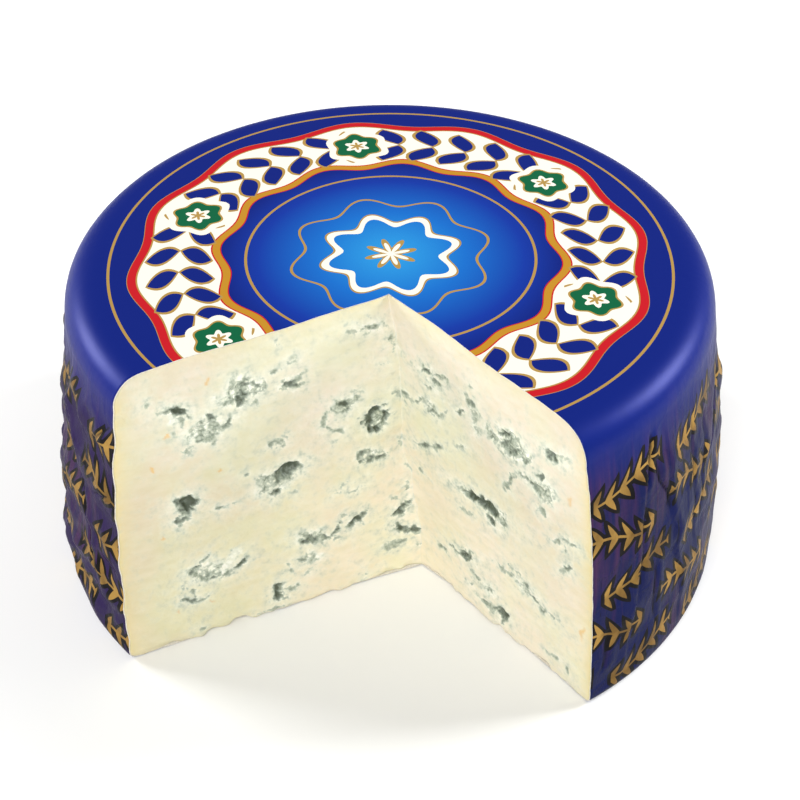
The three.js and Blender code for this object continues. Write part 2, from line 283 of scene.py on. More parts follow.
# %% Veins of the left face, lower half
LEFT_LOWER_VEINS = [
    ("patch", 35.4, 47.0, 3.9, 2.3, -8, 1.0, 1.4),
    ("patch", 38.0, 45.6, 2.2, 1.2, -20, 1.0, 0.8),
    ("crumbs", 41.2, 46.0, 2.2, 2.4, 0, 0.6, 0),
    ("patch", 39.8, 41.3, 1.4, 1.2, -25, 1.0, 0.6),
    ("streak", 34.4, 39.3, 1.0, 0.4, 0, 0.42, 0),
    ("patch", 43.5, 47.4, 0.9, 0.8, 0, 0.62, 0),
    ("crumbs", 43.0, 43.4, 1.8, 1.5, 0, 0.6, 0),
    ("streak", 47.8, 49.9, 1.2, 0.4, 0, 0.5, 0),
    ("mist", 38.6, 44.6, 7.4, 5.2, -10, 1.0, 0),
    ("patch", 65.0, 46.5, 2.9, 2.3, -4, 1.0, 1.3),
    ("patch", 61.6, 46.7, 0.7, 0.6, 0, 0.48, 0),
    ("ring", 66.2, 42.4, 2.2, 1.9, -10, 0.62, 0),
    ("patch", 67.8, 41.1, 0.8, 0.8, 0, 0.95, 0.3),
    ("mist", 65.4, 44.6, 4.6, 4.6, 0, 0.8, 0),
    ("patch", 55.6, 42.4, 1.0, 0.5, 15, 0.6, 0),
    ("streak", 53.6, 42.0, 2.4, 0.4, 8, 0.32, 0),
    ("ring", 12.4, 43.4, 2.4, 2.0, 0, 0.66, 0.3),
    ("streak", 7.4, 40.9, 1.8, 0.6, 4, 0.98, 0.4),
    ("streak", 9.4, 42.2, 1.4, 0.5, 50, 0.58, 0),
    ("streak", 7.6, 43.0, 2.8, 0.4, 32, 0.36, 0),
    ("crumbs", 10.6, 42.8, 3.0, 1.6, 10, 0.45, 0),
    ("mist", 9.8, 42.6, 6.2, 3.4, 8, 0.85, 0),
    ("mist", 12.4, 38.4, 3.2, 1.8, 0, 0.5, 0),
    ("streak", 21.8, 35.4, 2.6, 0.4, -38, 0.42, 0),
    ("patch", 17.1, 34.1, 0.9, 0.5, 0, 0.66, 0),
    ("streak", 17.2, 34.2, 2.5, 0.5, 4, 0.34, 0),
    ("mist", 19.0, 35.0, 4.6, 2.2, -10, 0.55, 0),
    ("patch", 1.0, 43.3, 0.5, 0.9, 0, 0.4, 0),
    ("streak", 0.5, 35.8, 1.5, 0.4, 75, 0.3, 0),
    ("streak", 2.2, 29.5, 1.3, 0.6, 100, 0.5, 0),
    ("streak", 5.8, 26.3, 0.9, 0.4, 40, 0.32, 0),
    ("patch", 4.4, 21.9, 2.3, 1.2, -38, 1.0, 0.9),
    ("patch", 1.9, 24.3, 1.0, 0.7, -20, 0.82, 0),
    ("streak", 6.2, 20.9, 1.2, 0.5, -15, 0.55, 0),
    ("mist", 4.0, 22.2, 4.4, 3.2, -30, 0.8, 0),
    ("patch", 18.4, 23.3, 1.8, 1.3, -20, 0.98, 0.8),
    ("streak", 16.1, 24.9, 1.5, 0.5, -20, 0.58, 0),
    ("patch", 16.5, 21.3, 0.8, 0.4, 0, 0.38, 0),
    ("streak", 20.8, 26.0, 2.2, 0.4, -28, 0.44, 0),
    ("streak", 20.9, 22.0, 1.1, 0.3, 0, 0.4, 0),
    ("mist", 19.0, 23.6, 4.4, 3.6, 0, 0.75, 0),
    ("streak", 24.0, 22.6, 1.7, 0.5, -50, 0.6, 0),
    ("sag", 27.0, 21.4, 3.4, 0.5, 6, 0.78, 0.2),
    ("patch", 24.3, 18.8, 1.3, 0.7, 0, 0.36, 0),
    ("streak", 28.6, 19.2, 1.1, 0.4, 80, 0.36, 0),
    ("patch", 31.6, 21.8, 2.2, 1.5, 0, 1.0, 1.0),
    ("patch", 33.6, 21.3, 1.4, 0.9, 0, 0.9, 0.4),
    ("patch", 33.4, 23.8, 1.4, 0.8, 10, 0.68, 0),
    ("crumbs", 32.6, 22.8, 3.0, 2.2, 0, 0.55, 0),
    ("mist", 30.4, 22.0, 6.4, 3.8, 0, 0.85, 0),
    ("streak", 1.8, 14.0, 2.0, 0.6, -3, 0.98, 0.4),
    ("streak", 5.2, 15.7, 2.5, 0.7, 32, 0.98, 0.4),
    ("streak", 1.2, 12.6, 1.0, 0.5, 35, 0.46, 0),
    ("mist", 3.6, 14.8, 4.4, 2.8, 15, 0.7, 0),
    ("patch", 0.7, 8.5, 0.9, 0.5, 0, 0.52, 0),
    ("ring", 8.4, 10.1, 2.4, 1.5, 0, 0.46, 0),
    ("mist", 8.4, 10.2, 3.4, 2.4, 0, 0.5, 0),
    ("patch", 17.6, 2.2, 0.5, 0.8, 0, 0.62, 0),
    ("patch", 34.7, 16.0, 1.5, 0.7, 0, 0.62, 0),
    ("streak", 33.6, 17.2, 1.0, 0.4, -30, 0.42, 0),
    ("crumbs", 32.2, 15.2, 1.6, 1.6, 0, 0.5, 0),
    ("streak", 39.3, 13.6, 1.5, 0.6, 80, 0.52, 0),
    ("patch", 33.5, 10.9, 0.9, 0.5, 0, 0.42, 0),
    ("mist", 35.0, 14.4, 5.4, 3.6, 0, 0.6, 0),
    ("streak", 66.0, 24.2, 2.2, 0.6, -32, 0.95, 0.4),
    ("streak", 63.6, 25.9, 2.0, 0.5, -22, 0.85, 0.3),
    ("streak", 53.7, 21.3, 2.3, 0.7, -22, 0.92, 0.4),
    ("patch", 61.0, 19.8, 1.9, 0.6, -4, 0.85, 0.3),
    ("sag", 63.8, 21.6, 3.0, 0.5, 6, 0.52, 0),
    ("streak", 58.2, 19.8, 2.2, 0.5, -15, 0.48, 0),
    ("streak", 56.5, 19.0, 0.9, 0.3, 0, 0.44, 0),
    ("streak", 51.0, 22.8, 1.3, 0.3, 60, 0.34, 0),
    ("crumbs", 62.6, 22.4, 4.6, 2.4, -6, 0.42, 0.2),
    ("mist", 59.4, 22.6, 9.2, 4.8, -2, 1.0, 0),
    ("mist", 53.2, 25.6, 2.8, 2.4, 0, 0.9, 0),
    ("patch", 69.2, 18.8, 0.6, 0.4, 0, 0.5, 0),
    ("streak", 65.8, 18.4, 0.9, 0.4, 70, 0.4, 0),
    ("streak", 69.0, 14.5, 2.4, 0.5, 6, 0.82, 0.2),
    ("patch", 67.4, 15.7, 0.6, 0.9, 0, 0.5, 0),
    ("sag", 65.4, 13.2, 2.6, 0.5, -2, 0.56, 0),
    ("mist", 66.6, 14.4, 4.4, 2.6, 0, 0.75, 0),
    ("patch", 67.5, 3.0, 0.7, 0.8, 0, 0.5, 0),
    ("patch", 42.9, 9.0, 1.4, 0.9, -15, 0.78, 0.2),
    ("streak", 43.9, 6.6, 2.4, 0.9, -68, 0.98, 0.5),
    ("streak", 39.8, 7.2, 2.2, 0.6, 10, 0.62, 0),
    ("patch", 42.3, 4.3, 1.1, 0.8, 0, 0.5, 0),
    ("mist", 42.4, 7.0, 4.4, 4.0, 0, 0.55, 0),
    ("streak", 46.0, 1.3, 4.2, 0.6, 0, 0.34, 0),
    ("speck", 72.7, 38.0, 0.8, 0.7, 0, 0.8, 0),
    ("speck", 62.7, 11.5, 0.6, 0.4, 0, 0.8, 0),
    ("speck", 73.0, 11.7, 0.4, 0.5, 0, 0.8, 0),
]
print(len(LEFT_LOWER_VEINS), "veins in the lower half of the left face")

# %% Veins of the right face
RIGHT_VEINS = [
    ("patch", 11.3, 74.9, 2.0, 0.8, 24, 0.85, 0.3),
    ("streak", 16.6, 75.4, 2.3, 0.6, 15, 0.62, 0),
    ("patch", 15.1, 73.0, 1.5, 0.6, 10, 0.7, 0.2),
    ("streak", 11.5, 70.1, 1.4, 0.5, 0, 0.52, 0),
    ("mist", 14.2, 72.0, 6.4, 5.0, 0, 0.85, 0),
    ("patch", 28.0, 74.7, 2.4, 1.1, 0, 0.5, 0),
    ("streak", 27.0, 76.3, 1.2, 0.5, 30, 0.46, 0),
    ("patch", 29.4, 80.0, 0.7, 0.6, 0, 0.42, 0),
    ("patch", 28.9, 72.2, 0.8, 0.6, 0, 0.45, 0),
    ("patch", 30.2, 70.2, 0.9, 0.7, 0, 0.38, 0),
    ("crumbs", 29.3, 67.4, 1.2, 1.8, 0, 0.45, 0),
    ("mist", 29.4, 73.0, 4.8, 7.4, 0, 0.8, 0),
    ("streak", 23.7, 69.0, 1.9, 0.5, 25, 0.92, 0.3),
    ("patch", 23.4, 68.0, 1.8, 0.9, 25, 0.4, 0),
    ("patch", 0.8, 61.2, 2.2, 0.8, 22, 0.62, 0.2),
    ("patch", 7.8, 62.6, 1.9, 0.7, 38, 0.68, 0.2),
    ("streak", 5.4, 61.2, 3.4, 0.4, 8, 0.34, 0),
    ("patch", 12.6, 62.0, 1.7, 0.7, 8, 0.56, 0),
    ("streak", 14.0, 61.3, 1.5, 0.4, 30, 0.6, 0),
    ("crumbs", 12.6, 63.4, 1.5, 2.0, 0, 0.5, 0),
    ("streak", 17.4, 64.1, 1.8, 0.4, 38, 0.34, 0),
    ("mist", 11.6, 63.0, 8.4, 3.6, 12, 0.85, 0),
    ("streak", 23.5, 57.5, 1.5, 0.4, 35, 0.6, 0),
    ("patch", 22.5, 56.8, 2.2, 0.7, 35, 0.34, 0),
    ("patch", 8.2, 48.2, 2.4, 0.6, 25, 0.7, 0.3),
    ("patch", 13.6, 51.4, 2.2, 0.9, 22, 0.64, 0.3),
    ("streak", 11.0, 49.9, 3.8, 0.5, 28, 0.42, 0),
    ("mist", 11.0, 50.0, 6.6, 3.0, 26, 0.85, 0),
    ("streak", 1.6, 57.6, 2.0, 0.3, 90, 0.3, 0),
    ("mist", 2.0, 75.4, 3.6, 2.4, 0, 0.6, 0),
    ("streak", 41.2, 72.5, 2.7, 0.8, 24, 0.92, 0.5),
    ("streak", 44.8, 74.1, 2.2, 0.5, 18, 0.58, 0),
    ("patch", 43.5, 68.5, 2.1, 1.0, 20, 0.95, 0.5),
    ("patch", 41.4, 69.6, 1.4, 0.8, -20, 0.66, 0),
    ("patch", 45.0, 69.7, 1.2, 0.9, 0, 0.62, 0),
    ("streak", 48.6, 69.4, 2.3, 0.7, 6, 0.56, 0),
    ("streak", 49.6, 70.9, 1.7, 0.5, -6, 0.42, 0),
    ("crumbs", 44.2, 71.0, 5.4, 3.6, 8, 0.7, 0.4),
    ("crumbs", 36.6, 69.4, 3.0, 1.5, 8, 0.72, 0.2),
    ("patch", 34.6, 71.0, 1.0, 0.8, 0, 0.46, 0),
    ("streak", 39.4, 66.2, 1.3, 0.5, 0, 0.44, 0),
    ("mist", 43.0, 70.4, 10.0, 5.4, 6, 0.95, 0),
    ("streak", 43.9, 61.0, 1.7, 0.6, 40, 0.54, 0),
    ("streak", 42.6, 58.2, 3.6, 0.8, 58, 0.52, 0.2),
    ("patch", 41.1, 54.9, 1.1, 0.9, 30, 0.56, 0),
    ("mist", 42.8, 58.0, 4.8, 2.6, 58, 0.6, 0),
    ("patch", 49.2, 63.9, 1.8, 0.6, 0, 0.88, 0.3),
    ("patch", 54.3, 67.2, 1.4, 0.8, 25, 0.85, 0.3),
    ("crumbs", 53.2, 62.8, 2.8, 1.6, 0, 0.68, 0.3),
    ("crumbs", 56.6, 64.0, 2.2, 2.6, 0, 0.45, 0),
    ("patch", 52.8, 62.4, 2.0, 0.9, 0, 0.5, 0),
    ("streak", 55.4, 60.9, 1.6, 0.4, 25, 0.42, 0),
    ("mist", 53.6, 64.0, 6.4, 4.4, 0, 0.85, 0),
    ("patch", 54.0, 56.0, 1.5, 1.0, 0, 0.5, 0),
    ("mist", 52.4, 54.0, 3.6, 3.0, 0, 0.5, 0),
    ("patch", 58.5, 76.5, 2.3, 1.1, 5, 0.9, 0.5),
    ("streak", 62.6, 78.7, 2.1, 0.5, 20, 0.5, 0),
    ("mist", 60.6, 77.3, 4.8, 2.4, 12, 0.9, 0),
    ("streak", 62.8, 52.0, 1.9, 0.6, 30, 0.5, 0),
    ("streak", 65.5, 52.3, 1.4, 0.5, 25, 0.6, 0),
    ("patch", 62.3, 48.6, 1.0, 0.6, 15, 0.55, 0),
    ("patch", 58.8, 49.4, 1.0, 0.6, 10, 0.5, 0),
    ("mist", 62.2, 50.8, 4.6, 2.8, 15, 0.6, 0),
    ("patch", 29.6, 43.0, 6.8, 1.7, 4, 0.96, 1.2),
    ("patch", 34.0, 42.6, 2.6, 1.7, -10, 0.88, 0.5),
    ("patch", 33.4, 38.3, 1.8, 1.1, -10, 0.95, 0.4),
    ("streak", 38.5, 44.2, 1.1, 0.4, 10, 0.52, 0),
    ("patch", 38.0, 40.4, 2.0, 0.8, 15, 0.55, 0),
    ("crumbs", 37.2, 42.2, 2.8, 2.6, 0, 0.55, 0),
    ("mist", 32.4, 41.8, 10.0, 4.6, -4, 1.0, 0),
    ("patch", 4.7, 37.6, 0.8, 0.7, 0, 0.58, 0),
    ("mist", 7.6, 37.4, 3.6, 2.2, 0, 0.5, 0),
    ("streak", 23.6, 35.2, 3.2, 0.4, 0, 0.28, 0),
    ("patch", 21.4, 18.5, 3.4, 1.2, 18, 1.0, 0.9),
    ("streak", 16.8, 17.0, 2.8, 0.6, 6, 0.62, 0),
    ("streak", 24.1, 20.7, 1.8, 0.5, 30, 0.66, 0),
    ("patch", 11.0, 14.1, 1.3, 0.6, 10, 0.5, 0),
    ("mist", 18.6, 17.4, 8.4, 3.6, 14, 0.85, 0),
    ("patch", 23.4, 14.0, 0.9, 0.8, 0, 0.54, 0),
    ("streak", 25.8, 13.7, 1.8, 0.6, 8, 0.56, 0),
    ("crumbs", 30.6, 12.5, 1.6, 1.1, 45, 0.7, 0),
    ("streak", 22.9, 8.6, 1.7, 0.5, 25, 0.64, 0),
    ("mist", 26.0, 12.4, 7.0, 4.0, 0, 0.7, 0),
    ("patch", 28.8, 6.5, 2.9, 1.0, 4, 0.52, 0),
    ("patch", 36.2, 7.3, 1.8, 2.0, 20, 0.92, 0.6),
    ("patch", 36.3, 4.7, 1.4, 0.6, 20, 0.56, 0),
    ("streak", 33.2, 7.6, 1.8, 0.6, 35, 0.6, 0),
    ("mist", 33.6, 7.2, 7.4, 3.4, 0, 0.8, 0),
    ("streak", 38.6, 24.4, 4.2, 0.6, 2, 0.42, 0),
    ("streak", 41.4, 27.0, 2.8, 0.5, -4, 0.42, 0),
    ("streak", 46.2, 25.6, 1.1, 0.5, 30, 0.55, 0),
    ("patch", 49.6, 22.5, 2.3, 0.7, -8, 0.88, 0.4),
    ("streak", 52.8, 20.8, 1.3, 0.5, 20, 0.64, 0),
    ("streak", 56.0, 22.0, 2.6, 0.6, 10, 0.42, 0),
    ("crumbs", 45.6, 23.6, 2.6, 1.6, -10, 0.42, 0),
    ("mist", 47.4, 24.4, 10.6, 4.4, -6, 0.85, 0),
    ("streak", 62.8, 43.3, 1.3, 0.5, 30, 0.8, 0.2),
    ("streak", 60.6, 40.9, 1.9, 0.6, 45, 0.34, 0),
    ("mist", 61.6, 42.0, 3.4, 2.2, 35, 0.5, 0),
    ("streak", 57.4, 7.5, 2.2, 0.6, 15, 0.46, 0),
    ("patch", 54.0, 5.8, 1.0, 0.8, 0, 0.32, 0),
    ("patch", 61.8, 5.2, 0.5, 0.8, 0, 0.46, 0),
    ("mist", 57.0, 6.8, 4.6, 2.4, 0, 0.6, 0),
    ("speck", 68.0, 24.5, 0.8, 2.2, 0, 0.7, 0),
    ("speck", 64.0, 66.0, 0.9, 1.6, 0, 0.5, 0),
]
print(len(RIGHT_VEINS), "veins on the right face")

# %% [markdown]
# One function turns those lines into fields over a face. Every vein is measured in its own long and
# high axes. Before that the coordinates are pushed about by noise, which tears the smooth ovals into
# ragged islands as crumbly curd does.


# %% Vein fields
FACES = {
    "left": {"heading": LEFT_HEADING, "into": LEFT_HEADING - math.pi / 2, "laps": 1,
             "veins": LEFT_UPPER_VEINS + LEFT_LOWER_VEINS, "seed": 11,
             "chips": [(55.2, 4.0, 3.2), (29.0, 2.6, 1.0), (64.0, 5.0, 0.8), (76.0, 6.0, 1.0)]},
    "right": {"heading": RIGHT_HEADING, "into": RIGHT_HEADING + math.pi / 2, "laps": 0,
              "veins": RIGHT_VEINS, "seed": 47,
              "chips": [(10.0, 5.0, 0.7), (34.5, 3.0, 1.0), (52.0, 4.0, 0.6)]},
}
RING_PLACE = 0.76
RING_SHARE = 0.26
SAG = 0.45
BLOOM_REACH = 2.0
FAR_BLOOM = 0.3
FAR_REACH = 4.5
CRUMB_TONE = 0.36
TEAR_SIZE = 2.2
TORN_ALONG = 0.9
TORN_UP = 0.85
THIN_PATCHES = 0.38
CAVITY_SLOPE = 1.3


def vein_fields(face, along, up):
    """Fields at places on a face. With x and y in a vein's own axes and rho = sqrt((x/long)^2 +
    (y/high)^2), `inside` is the depth within its edge in mm: (1 - rho) times the smaller half size for
    a patch, the depth within a band round rho = 0.76 for a ring, and high * sqrt(1 - (x/long)^2) -
    |y - bend| for a streak, where a sag has bend = 0.45 long ((x/long)^2 - 0.5). Mould is full from
    about half a millimetre within the edge, and thinner in patches. Bloom is strong at the edge and
    fades outwards as two exponentials, one short and one long. A cavity deepens over 1.3 mm."""
    seed = face["seed"]
    torn_along = along + TORN_ALONG * rough(along, up, TEAR_SIZE, seed, 4)
    torn_up = up + TORN_UP * rough(along, up, TEAR_SIZE, seed + 5, 4)
    shade = rough(along, up, 1.4, seed + 9)
    patchy = 1 - THIN_PATCHES * ease(rough(along, up, 2.0, seed + 13), -0.1, 0.9)
    fields = {key: np.zeros(along.shape) for key in ("mould", "bloom", "crumbs", "ochre", "cavity")}
    for kind, at_along, at_up, long, high, rise, dark, deep in face["veins"]:
        turn = math.radians(rise)
        da = torn_along - at_along
        dz = torn_up - at_up
        x = da * math.cos(turn) + dz * math.sin(turn)
        y = dz * math.cos(turn) - da * math.sin(turn)
        rho = np.hypot(x / long, y / high)
        thin = min(long, high)
        inside = (1 - rho) * thin
        if kind == "ring":
            inside = (RING_SHARE - np.abs(rho - RING_PLACE)) * thin + 0.3 * shade
        if kind in ("streak", "sag"):
            bend = SAG * long * ((x / long) ** 2 - 0.5) if kind == "sag" else 0
            inside = high * np.sqrt(np.clip(1 - (x / long) ** 2, 0, 1)) - np.abs(y - bend)
            inside = np.minimum(inside, long - np.abs(x))
        if kind == "mist":
            fields["bloom"] = np.maximum(fields["bloom"], dark * ease(1 - rho + 0.2 * shade, -0.15, 0.75))
            continue
        if kind == "speck":
            fields["ochre"] = np.maximum(fields["ochre"], dark * ease(inside + 0.15 * shade, -0.2, 0.4))
            continue
        body = ease(inside + 0.3 * shade, -0.55, 0.6)
        if kind == "crumbs":
            fields["crumbs"] = np.maximum(fields["crumbs"], dark * ease(inside + 0.3 * shade, -0.2, 0.9))
            body = body * CRUMB_TONE
        fields["mould"] = np.maximum(fields["mould"], dark * body * patchy)
        pale = 0.3 if kind == "crumbs" else 0
        outside = np.maximum(0, -inside)
        glow = (0.38 + 0.6 * dark + pale) * np.exp(-outside / BLOOM_REACH)
        glow = glow + FAR_BLOOM * dark * np.exp(-outside / FAR_REACH) * (1 - np.exp(-outside / BLOOM_REACH))
        fields["bloom"] = np.maximum(fields["bloom"], glow)
        fields["cavity"] = np.maximum(fields["cavity"], deep * ease(inside, 0, CAVITY_SLOPE))
    return fields


print("faces:", list(FACES))

# %% [markdown]
# ## A point of a cut face
#
# Everything that meets at a cut, the paste and both sides of the foil, takes its edge from this one
# function, so the foil ends flush with the cheese as a knife leaves it.

# %% Sizes of the small relief
CURD_RELIEF = 0.11
CURD_SIZE = 3.2
CORNER_FADE = 1.6
CHIP_HEIGHT = 1.5
CRUMBLE = 0.5


# %% Points on the faces
def straight_corner(up):
    """The corner as a straight leaning line, the x and y at each height."""
    share = np.asarray(up)[..., None] / HEIGHT
    return CORNER_AT_BASE + (CORNER_AT_TOP - CORNER_AT_BASE) * share


def chips(face, along):
    """How far the lower edge has crumbled away at each place along the face: fine noise, and the
    chips of the face, each deepest at its middle and gone at its half width."""
    crumbled = CRUMBLE * (1 + noise(along / 2.1, along * 0, face["seed"] + 22))
    for middle, half_width, deep in face["chips"]:
        crumbled = crumbled + deep * ease(half_width - np.abs(along - middle), 0, half_width)
    return crumbled


def bite(face, along, up):
    """Depth of the face into the cheese: drag waves, cavities, curd relief and the chipped lower edge."""
    wave = DRAG_DEPTH * np.sin(2 * np.pi * along / DRAG_LENGTH + up / DRAG_RISE)
    fields = vein_fields(face, along, up)
    seed = face["seed"]
    curd = CURD_RELIEF * rough(along, up * 1.4, CURD_SIZE, seed + 31, 4)
    pitted = 0.3 * fields["mould"] * (1 + 0.6 * rough(along, up, 1.3, seed + 33, 2))
    hollow = fields["cavity"] * (1 + 0.25 * rough(along, up, 2.0, seed + 35, 2))
    crumbled = chips(face, along) * np.exp(-((up / CHIP_HEIGHT) ** 2))
    return (wave + hollow + curd + pitted + crumbled) * (1 - np.exp(-((along / CORNER_FADE) ** 2)))


def face_points(face, along, up):
    """x, y, z of places on a face: along its heading from the corner, in by the bite, and moved by the
    corner's wander, which dies away from the corner."""
    along, up = np.broadcast_arrays(np.asarray(along, float), np.asarray(up, float))
    ragged = 0.35 * noise(up / 3.1, up * 0, 77) + 0.2 * noise(up / 1.3, up * 0, 78)
    wander = (read_off(CORNER_WANDER, up) + ragged) * np.exp(-along / WANDER_REACH)
    depth = bite(face, along, up)
    corner = straight_corner(up)
    x = corner[..., 0] + along * math.cos(face["heading"]) + depth * math.cos(face["into"]) - 0.25 * wander
    y = corner[..., 1] + along * math.sin(face["heading"]) + depth * math.sin(face["into"]) + wander
    return np.stack([x, y, up], axis=-1)


def along_to(face, radius, up):
    """How far along a face it reaches this radius: corner + along * heading meets the circle."""
    corner = straight_corner(up)
    lean = corner[..., 0] * math.cos(face["heading"]) + corner[..., 1] * math.sin(face["heading"])
    return -lean + np.sqrt(lean**2 - (corner**2).sum(axis=-1) + radius**2)


half_way = np.array(HEIGHT / 2)
for name, face in FACES.items():
    reach = float(along_to(face, side_radius(half_way), half_way))
    print(f"{name} face reaches {reach:.1f} mm half way up")

# %% [markdown]
# ## The sheet of foil: folds, lumps and creases
#
# A flat sheet can't go round a wheel without folds. The surplus lies in pleats down the side, each a
# slope that ends in a sharp step where the sheet doubles back. Between them the foil shows long straight
# creases with flat facets, which a sum of triangle waves in a few directions gives, and sharp dents.
# Azimuths are degrees round the axis: 270 is the right-hand cut, and they run on past 360 round the
# back to about 540 at the left-hand cut.

# %% Folds of the foil
PLEATS = [
    # azimuth in degrees, drift round on its way down, width in mm, height in mm, side of the sharp step
    (276, -5, 5.0, 1.0, 1),
    (281, 7, 5.0, 0.8, -1),
    (309, 4, 4.5, 0.9, 1),
    (333, -6, 5.0, 1.0, -1),
    (355, 5, 4.5, 0.7, 1),
    (378, -4, 5.0, 1.0, -1),
    (403, 6, 4.5, 0.8, 1),
    (426, -5, 5.0, 1.0, -1),
    (452, 5, 5.0, 0.9, 1),
    (473, -6, 4.5, 0.8, -1),
    (499, 4, 5.0, 1.0, 1),
    (520, -7, 4.5, 0.8, -1),
]
STEP_WIDTH = 0.9
PLEAT_SLOPE = 1.6
CREASES = [
    # direction in degrees from level, spacing in mm, height in mm
    (72, 17.0, 0.40),
    (118, 23.0, 0.38),
    (38, 12.0, 0.24),
    (95, 8.0, 0.17),
    (150, 9.5, 0.16),
]
DENTS = [
    # azimuth and height of the upper end, azimuth and height of the lower end, depth in mm
    (277.2, 81, 275.0, 60, 0.9),
    (277.0, 73, 284.0, 47, 0.8),
    (275.0, 61, 274.2, 27, 0.5),
    (284.0, 48, 284.3, 34, 0.6),
    (278.0, 39, 279.2, 12, 0.7),
    (267.2, 24, 265.8, 9, 0.7),
    (290.0, 78, 292.5, 20, 0.5),
    (297.0, 70, 294.0, 30, 0.5),
    (509.0, 80, 518.5, 62, 0.9),
    (518.5, 66, 526.0, 46, 0.9),
    (526.0, 50, 531.5, 22, 1.2),
    (537.0, 77, 531.0, 66, 0.7),
    (531.5, 30, 533.0, 10, 0.9),
    (538.0, 55, 530.0, 47, 0.7),
]
BACK_DENTS = range(304, 500, 9)
for azimuth in BACK_DENTS:
    # round the back, where the photograph does not show: about 62 mm up, 34 mm long, 0.65 mm deep
    wobble = [float(noise(np.array([azimuth / 5.0]), np.array([0.0]), seed)[0]) for seed in (91, 92, 93)]
    upper = 62 + 20 * wobble[0]
    DENTS.append((azimuth + 4 * wobble[1], upper, azimuth + 9 * wobble[2], upper - 34 + 10 * wobble[1],
                  0.65 + 0.25 * wobble[2]))
DENT_HALF_WIDTH = 0.95
DENT_RIDGE = {"share": 0.45, "away": 2.2, "width": 1.5}
LUMP_HEIGHT = 0.45
RUMPLED = 1.3
RUMPLED_FROM_TO = (488, 520)
DEEPEST_FOLD = 1.1
HIDDEN_SINK = 1.6
HIDDEN_FROM = 0.8


def lumps(turn, up):
    """Broad unevenness of the whole wheel, in mm: noise about 30 mm wide round the side."""
    arc = turn * FOOT_RADIUS
    return LUMP_HEIGHT * noise(arc / 34.0, up / 30.0, 301) * ease(up, 0.5, 12) * ease(90 - up, 0, 8)


def pleats(turn, up):
    """Height of the pleats: a slope up to a line, then down again over a step under a millimetre wide."""
    share = np.clip((up - SIDE_FOOT) / (SIDE_TOP - SIDE_FOOT), 0, 1)
    fade = np.minimum(1, np.minimum(5 * share, 5 * (1 - share)))
    total = np.zeros(np.broadcast(turn, up).shape)
    for azimuth, drift, width, tall, step_side in PLEATS:
        bend = 1.2 * noise(up / 19.0, up * 0, azimuth)
        away = (np.degrees(turn) - azimuth - drift * (1 - share)) * FOOT_RADIUS * math.pi / 180 + bend
        away = away * step_side
        slope = np.where(away < 0, 1 + away / (PLEAT_SLOPE * width), 1 - away / STEP_WIDTH)
        total = np.maximum(total, tall * np.clip(slope, 0, 1))
    return total * fade


def creases(turn, up):
    """Facets between straight creases: triangle waves across a few directions, each bent a little and
    faded in and out by noise, stronger towards the left-hand cut where the foil is most rumpled."""
    arc = turn * FOOT_RADIUS
    bent_arc = arc + 5 * noise(arc / 37.0, up / 37.0, 311)
    bent_up = up + 5 * noise(arc / 41.0, up / 41.0, 312)
    total = np.zeros(np.broadcast(turn, up).shape)
    for index, (direction, spacing, tall) in enumerate(CREASES):
        across = bent_arc * math.cos(math.radians(direction)) + bent_up * math.sin(math.radians(direction))
        wave = 2 * np.abs(2 * ((across / spacing) % 1) - 1) - 1
        strength = 0.55 + 0.45 * noise(arc / 23.0, up / 23.0, 320 + index)
        total = total + tall * strength * wave
    rumpled = 1 + RUMPLED * ease(np.degrees(turn), *RUMPLED_FROM_TO)
    return total * rumpled * ease(SIDE_TOP + 2 - up, 0, 14) * ease(up, 0.5, 6)


def dents(turn, up):
    """Sharp folded-in lines. Each is a V-shaped groove under 2 mm wide with a low ridge along one
    side, on a slightly wandering line between two ends, fading out at both. Gives the relief in mm,
    and how dark the bottom of the groove is painted, as painted shade, which is 1 in the bottom of the
    deepest groove."""
    relief = np.zeros(np.broadcast(turn, up).shape)
    gaps_and_groove_shade = relief.copy()
    wander = 0.9 * noise(up / 7.0, up * 0, 61)
    for top_turn, top_up, low_turn, low_up, deep in DENTS:
        down = (top_up - up) / (top_up - low_up)
        line = top_turn + (low_turn - top_turn) * down
        away = np.radians(np.degrees(turn) - line) * FOOT_RADIUS + wander
        fade = ease(down, 0, 0.2) * ease(1 - down, 0, 0.25)
        groove = np.clip(1 - np.abs(away) / DENT_HALF_WIDTH, 0, 1)
        ridge = DENT_RIDGE["share"] * np.exp(-(((away - DENT_RIDGE["away"]) / DENT_RIDGE["width"]) ** 2))
        relief = relief + deep * (ridge - groove) * fade
        gaps_and_groove_shade = np.maximum(gaps_and_groove_shade, min(deep, 1.0) * groove * fade)
    return relief, gaps_and_groove_shade


def held(from_cut):
    """Share of the creasing: the sheet clings to the paste at a cut, and is free 8 mm away from it."""
    return 0.35 + 0.65 * ease(from_cut, 0, 8)


def no_deeper(relief):
    """Relief whose hollows level out towards the deepest fold, d: d * tanh(relief / d) below 0."""
    return np.where(relief < 0, DEEPEST_FOLD * np.tanh(relief / DEEPEST_FOLD), relief)


def foil_lift(turn, up, from_cut):
    """Height of the outside of the foil over the plain section."""
    folded = creases(turn, up) * held(from_cut) + dents(turn, up)[0] * ease(from_cut, 0.5, 7)
    return lumps(turn, up) + pleats(turn, up) + no_deeper(folded)


def lining_lift(turn, up, from_cut):
    """The same for the inside of the foil. It follows the outside exactly at the cuts, and lies a
    little deeper where it can't be seen and has few columns."""
    hidden = ease(from_cut, 0, HIDDEN_FROM)
    return foil_lift(turn, up, from_cut) * (1 - hidden) + (lumps(turn, up) - HIDDEN_SINK) * hidden


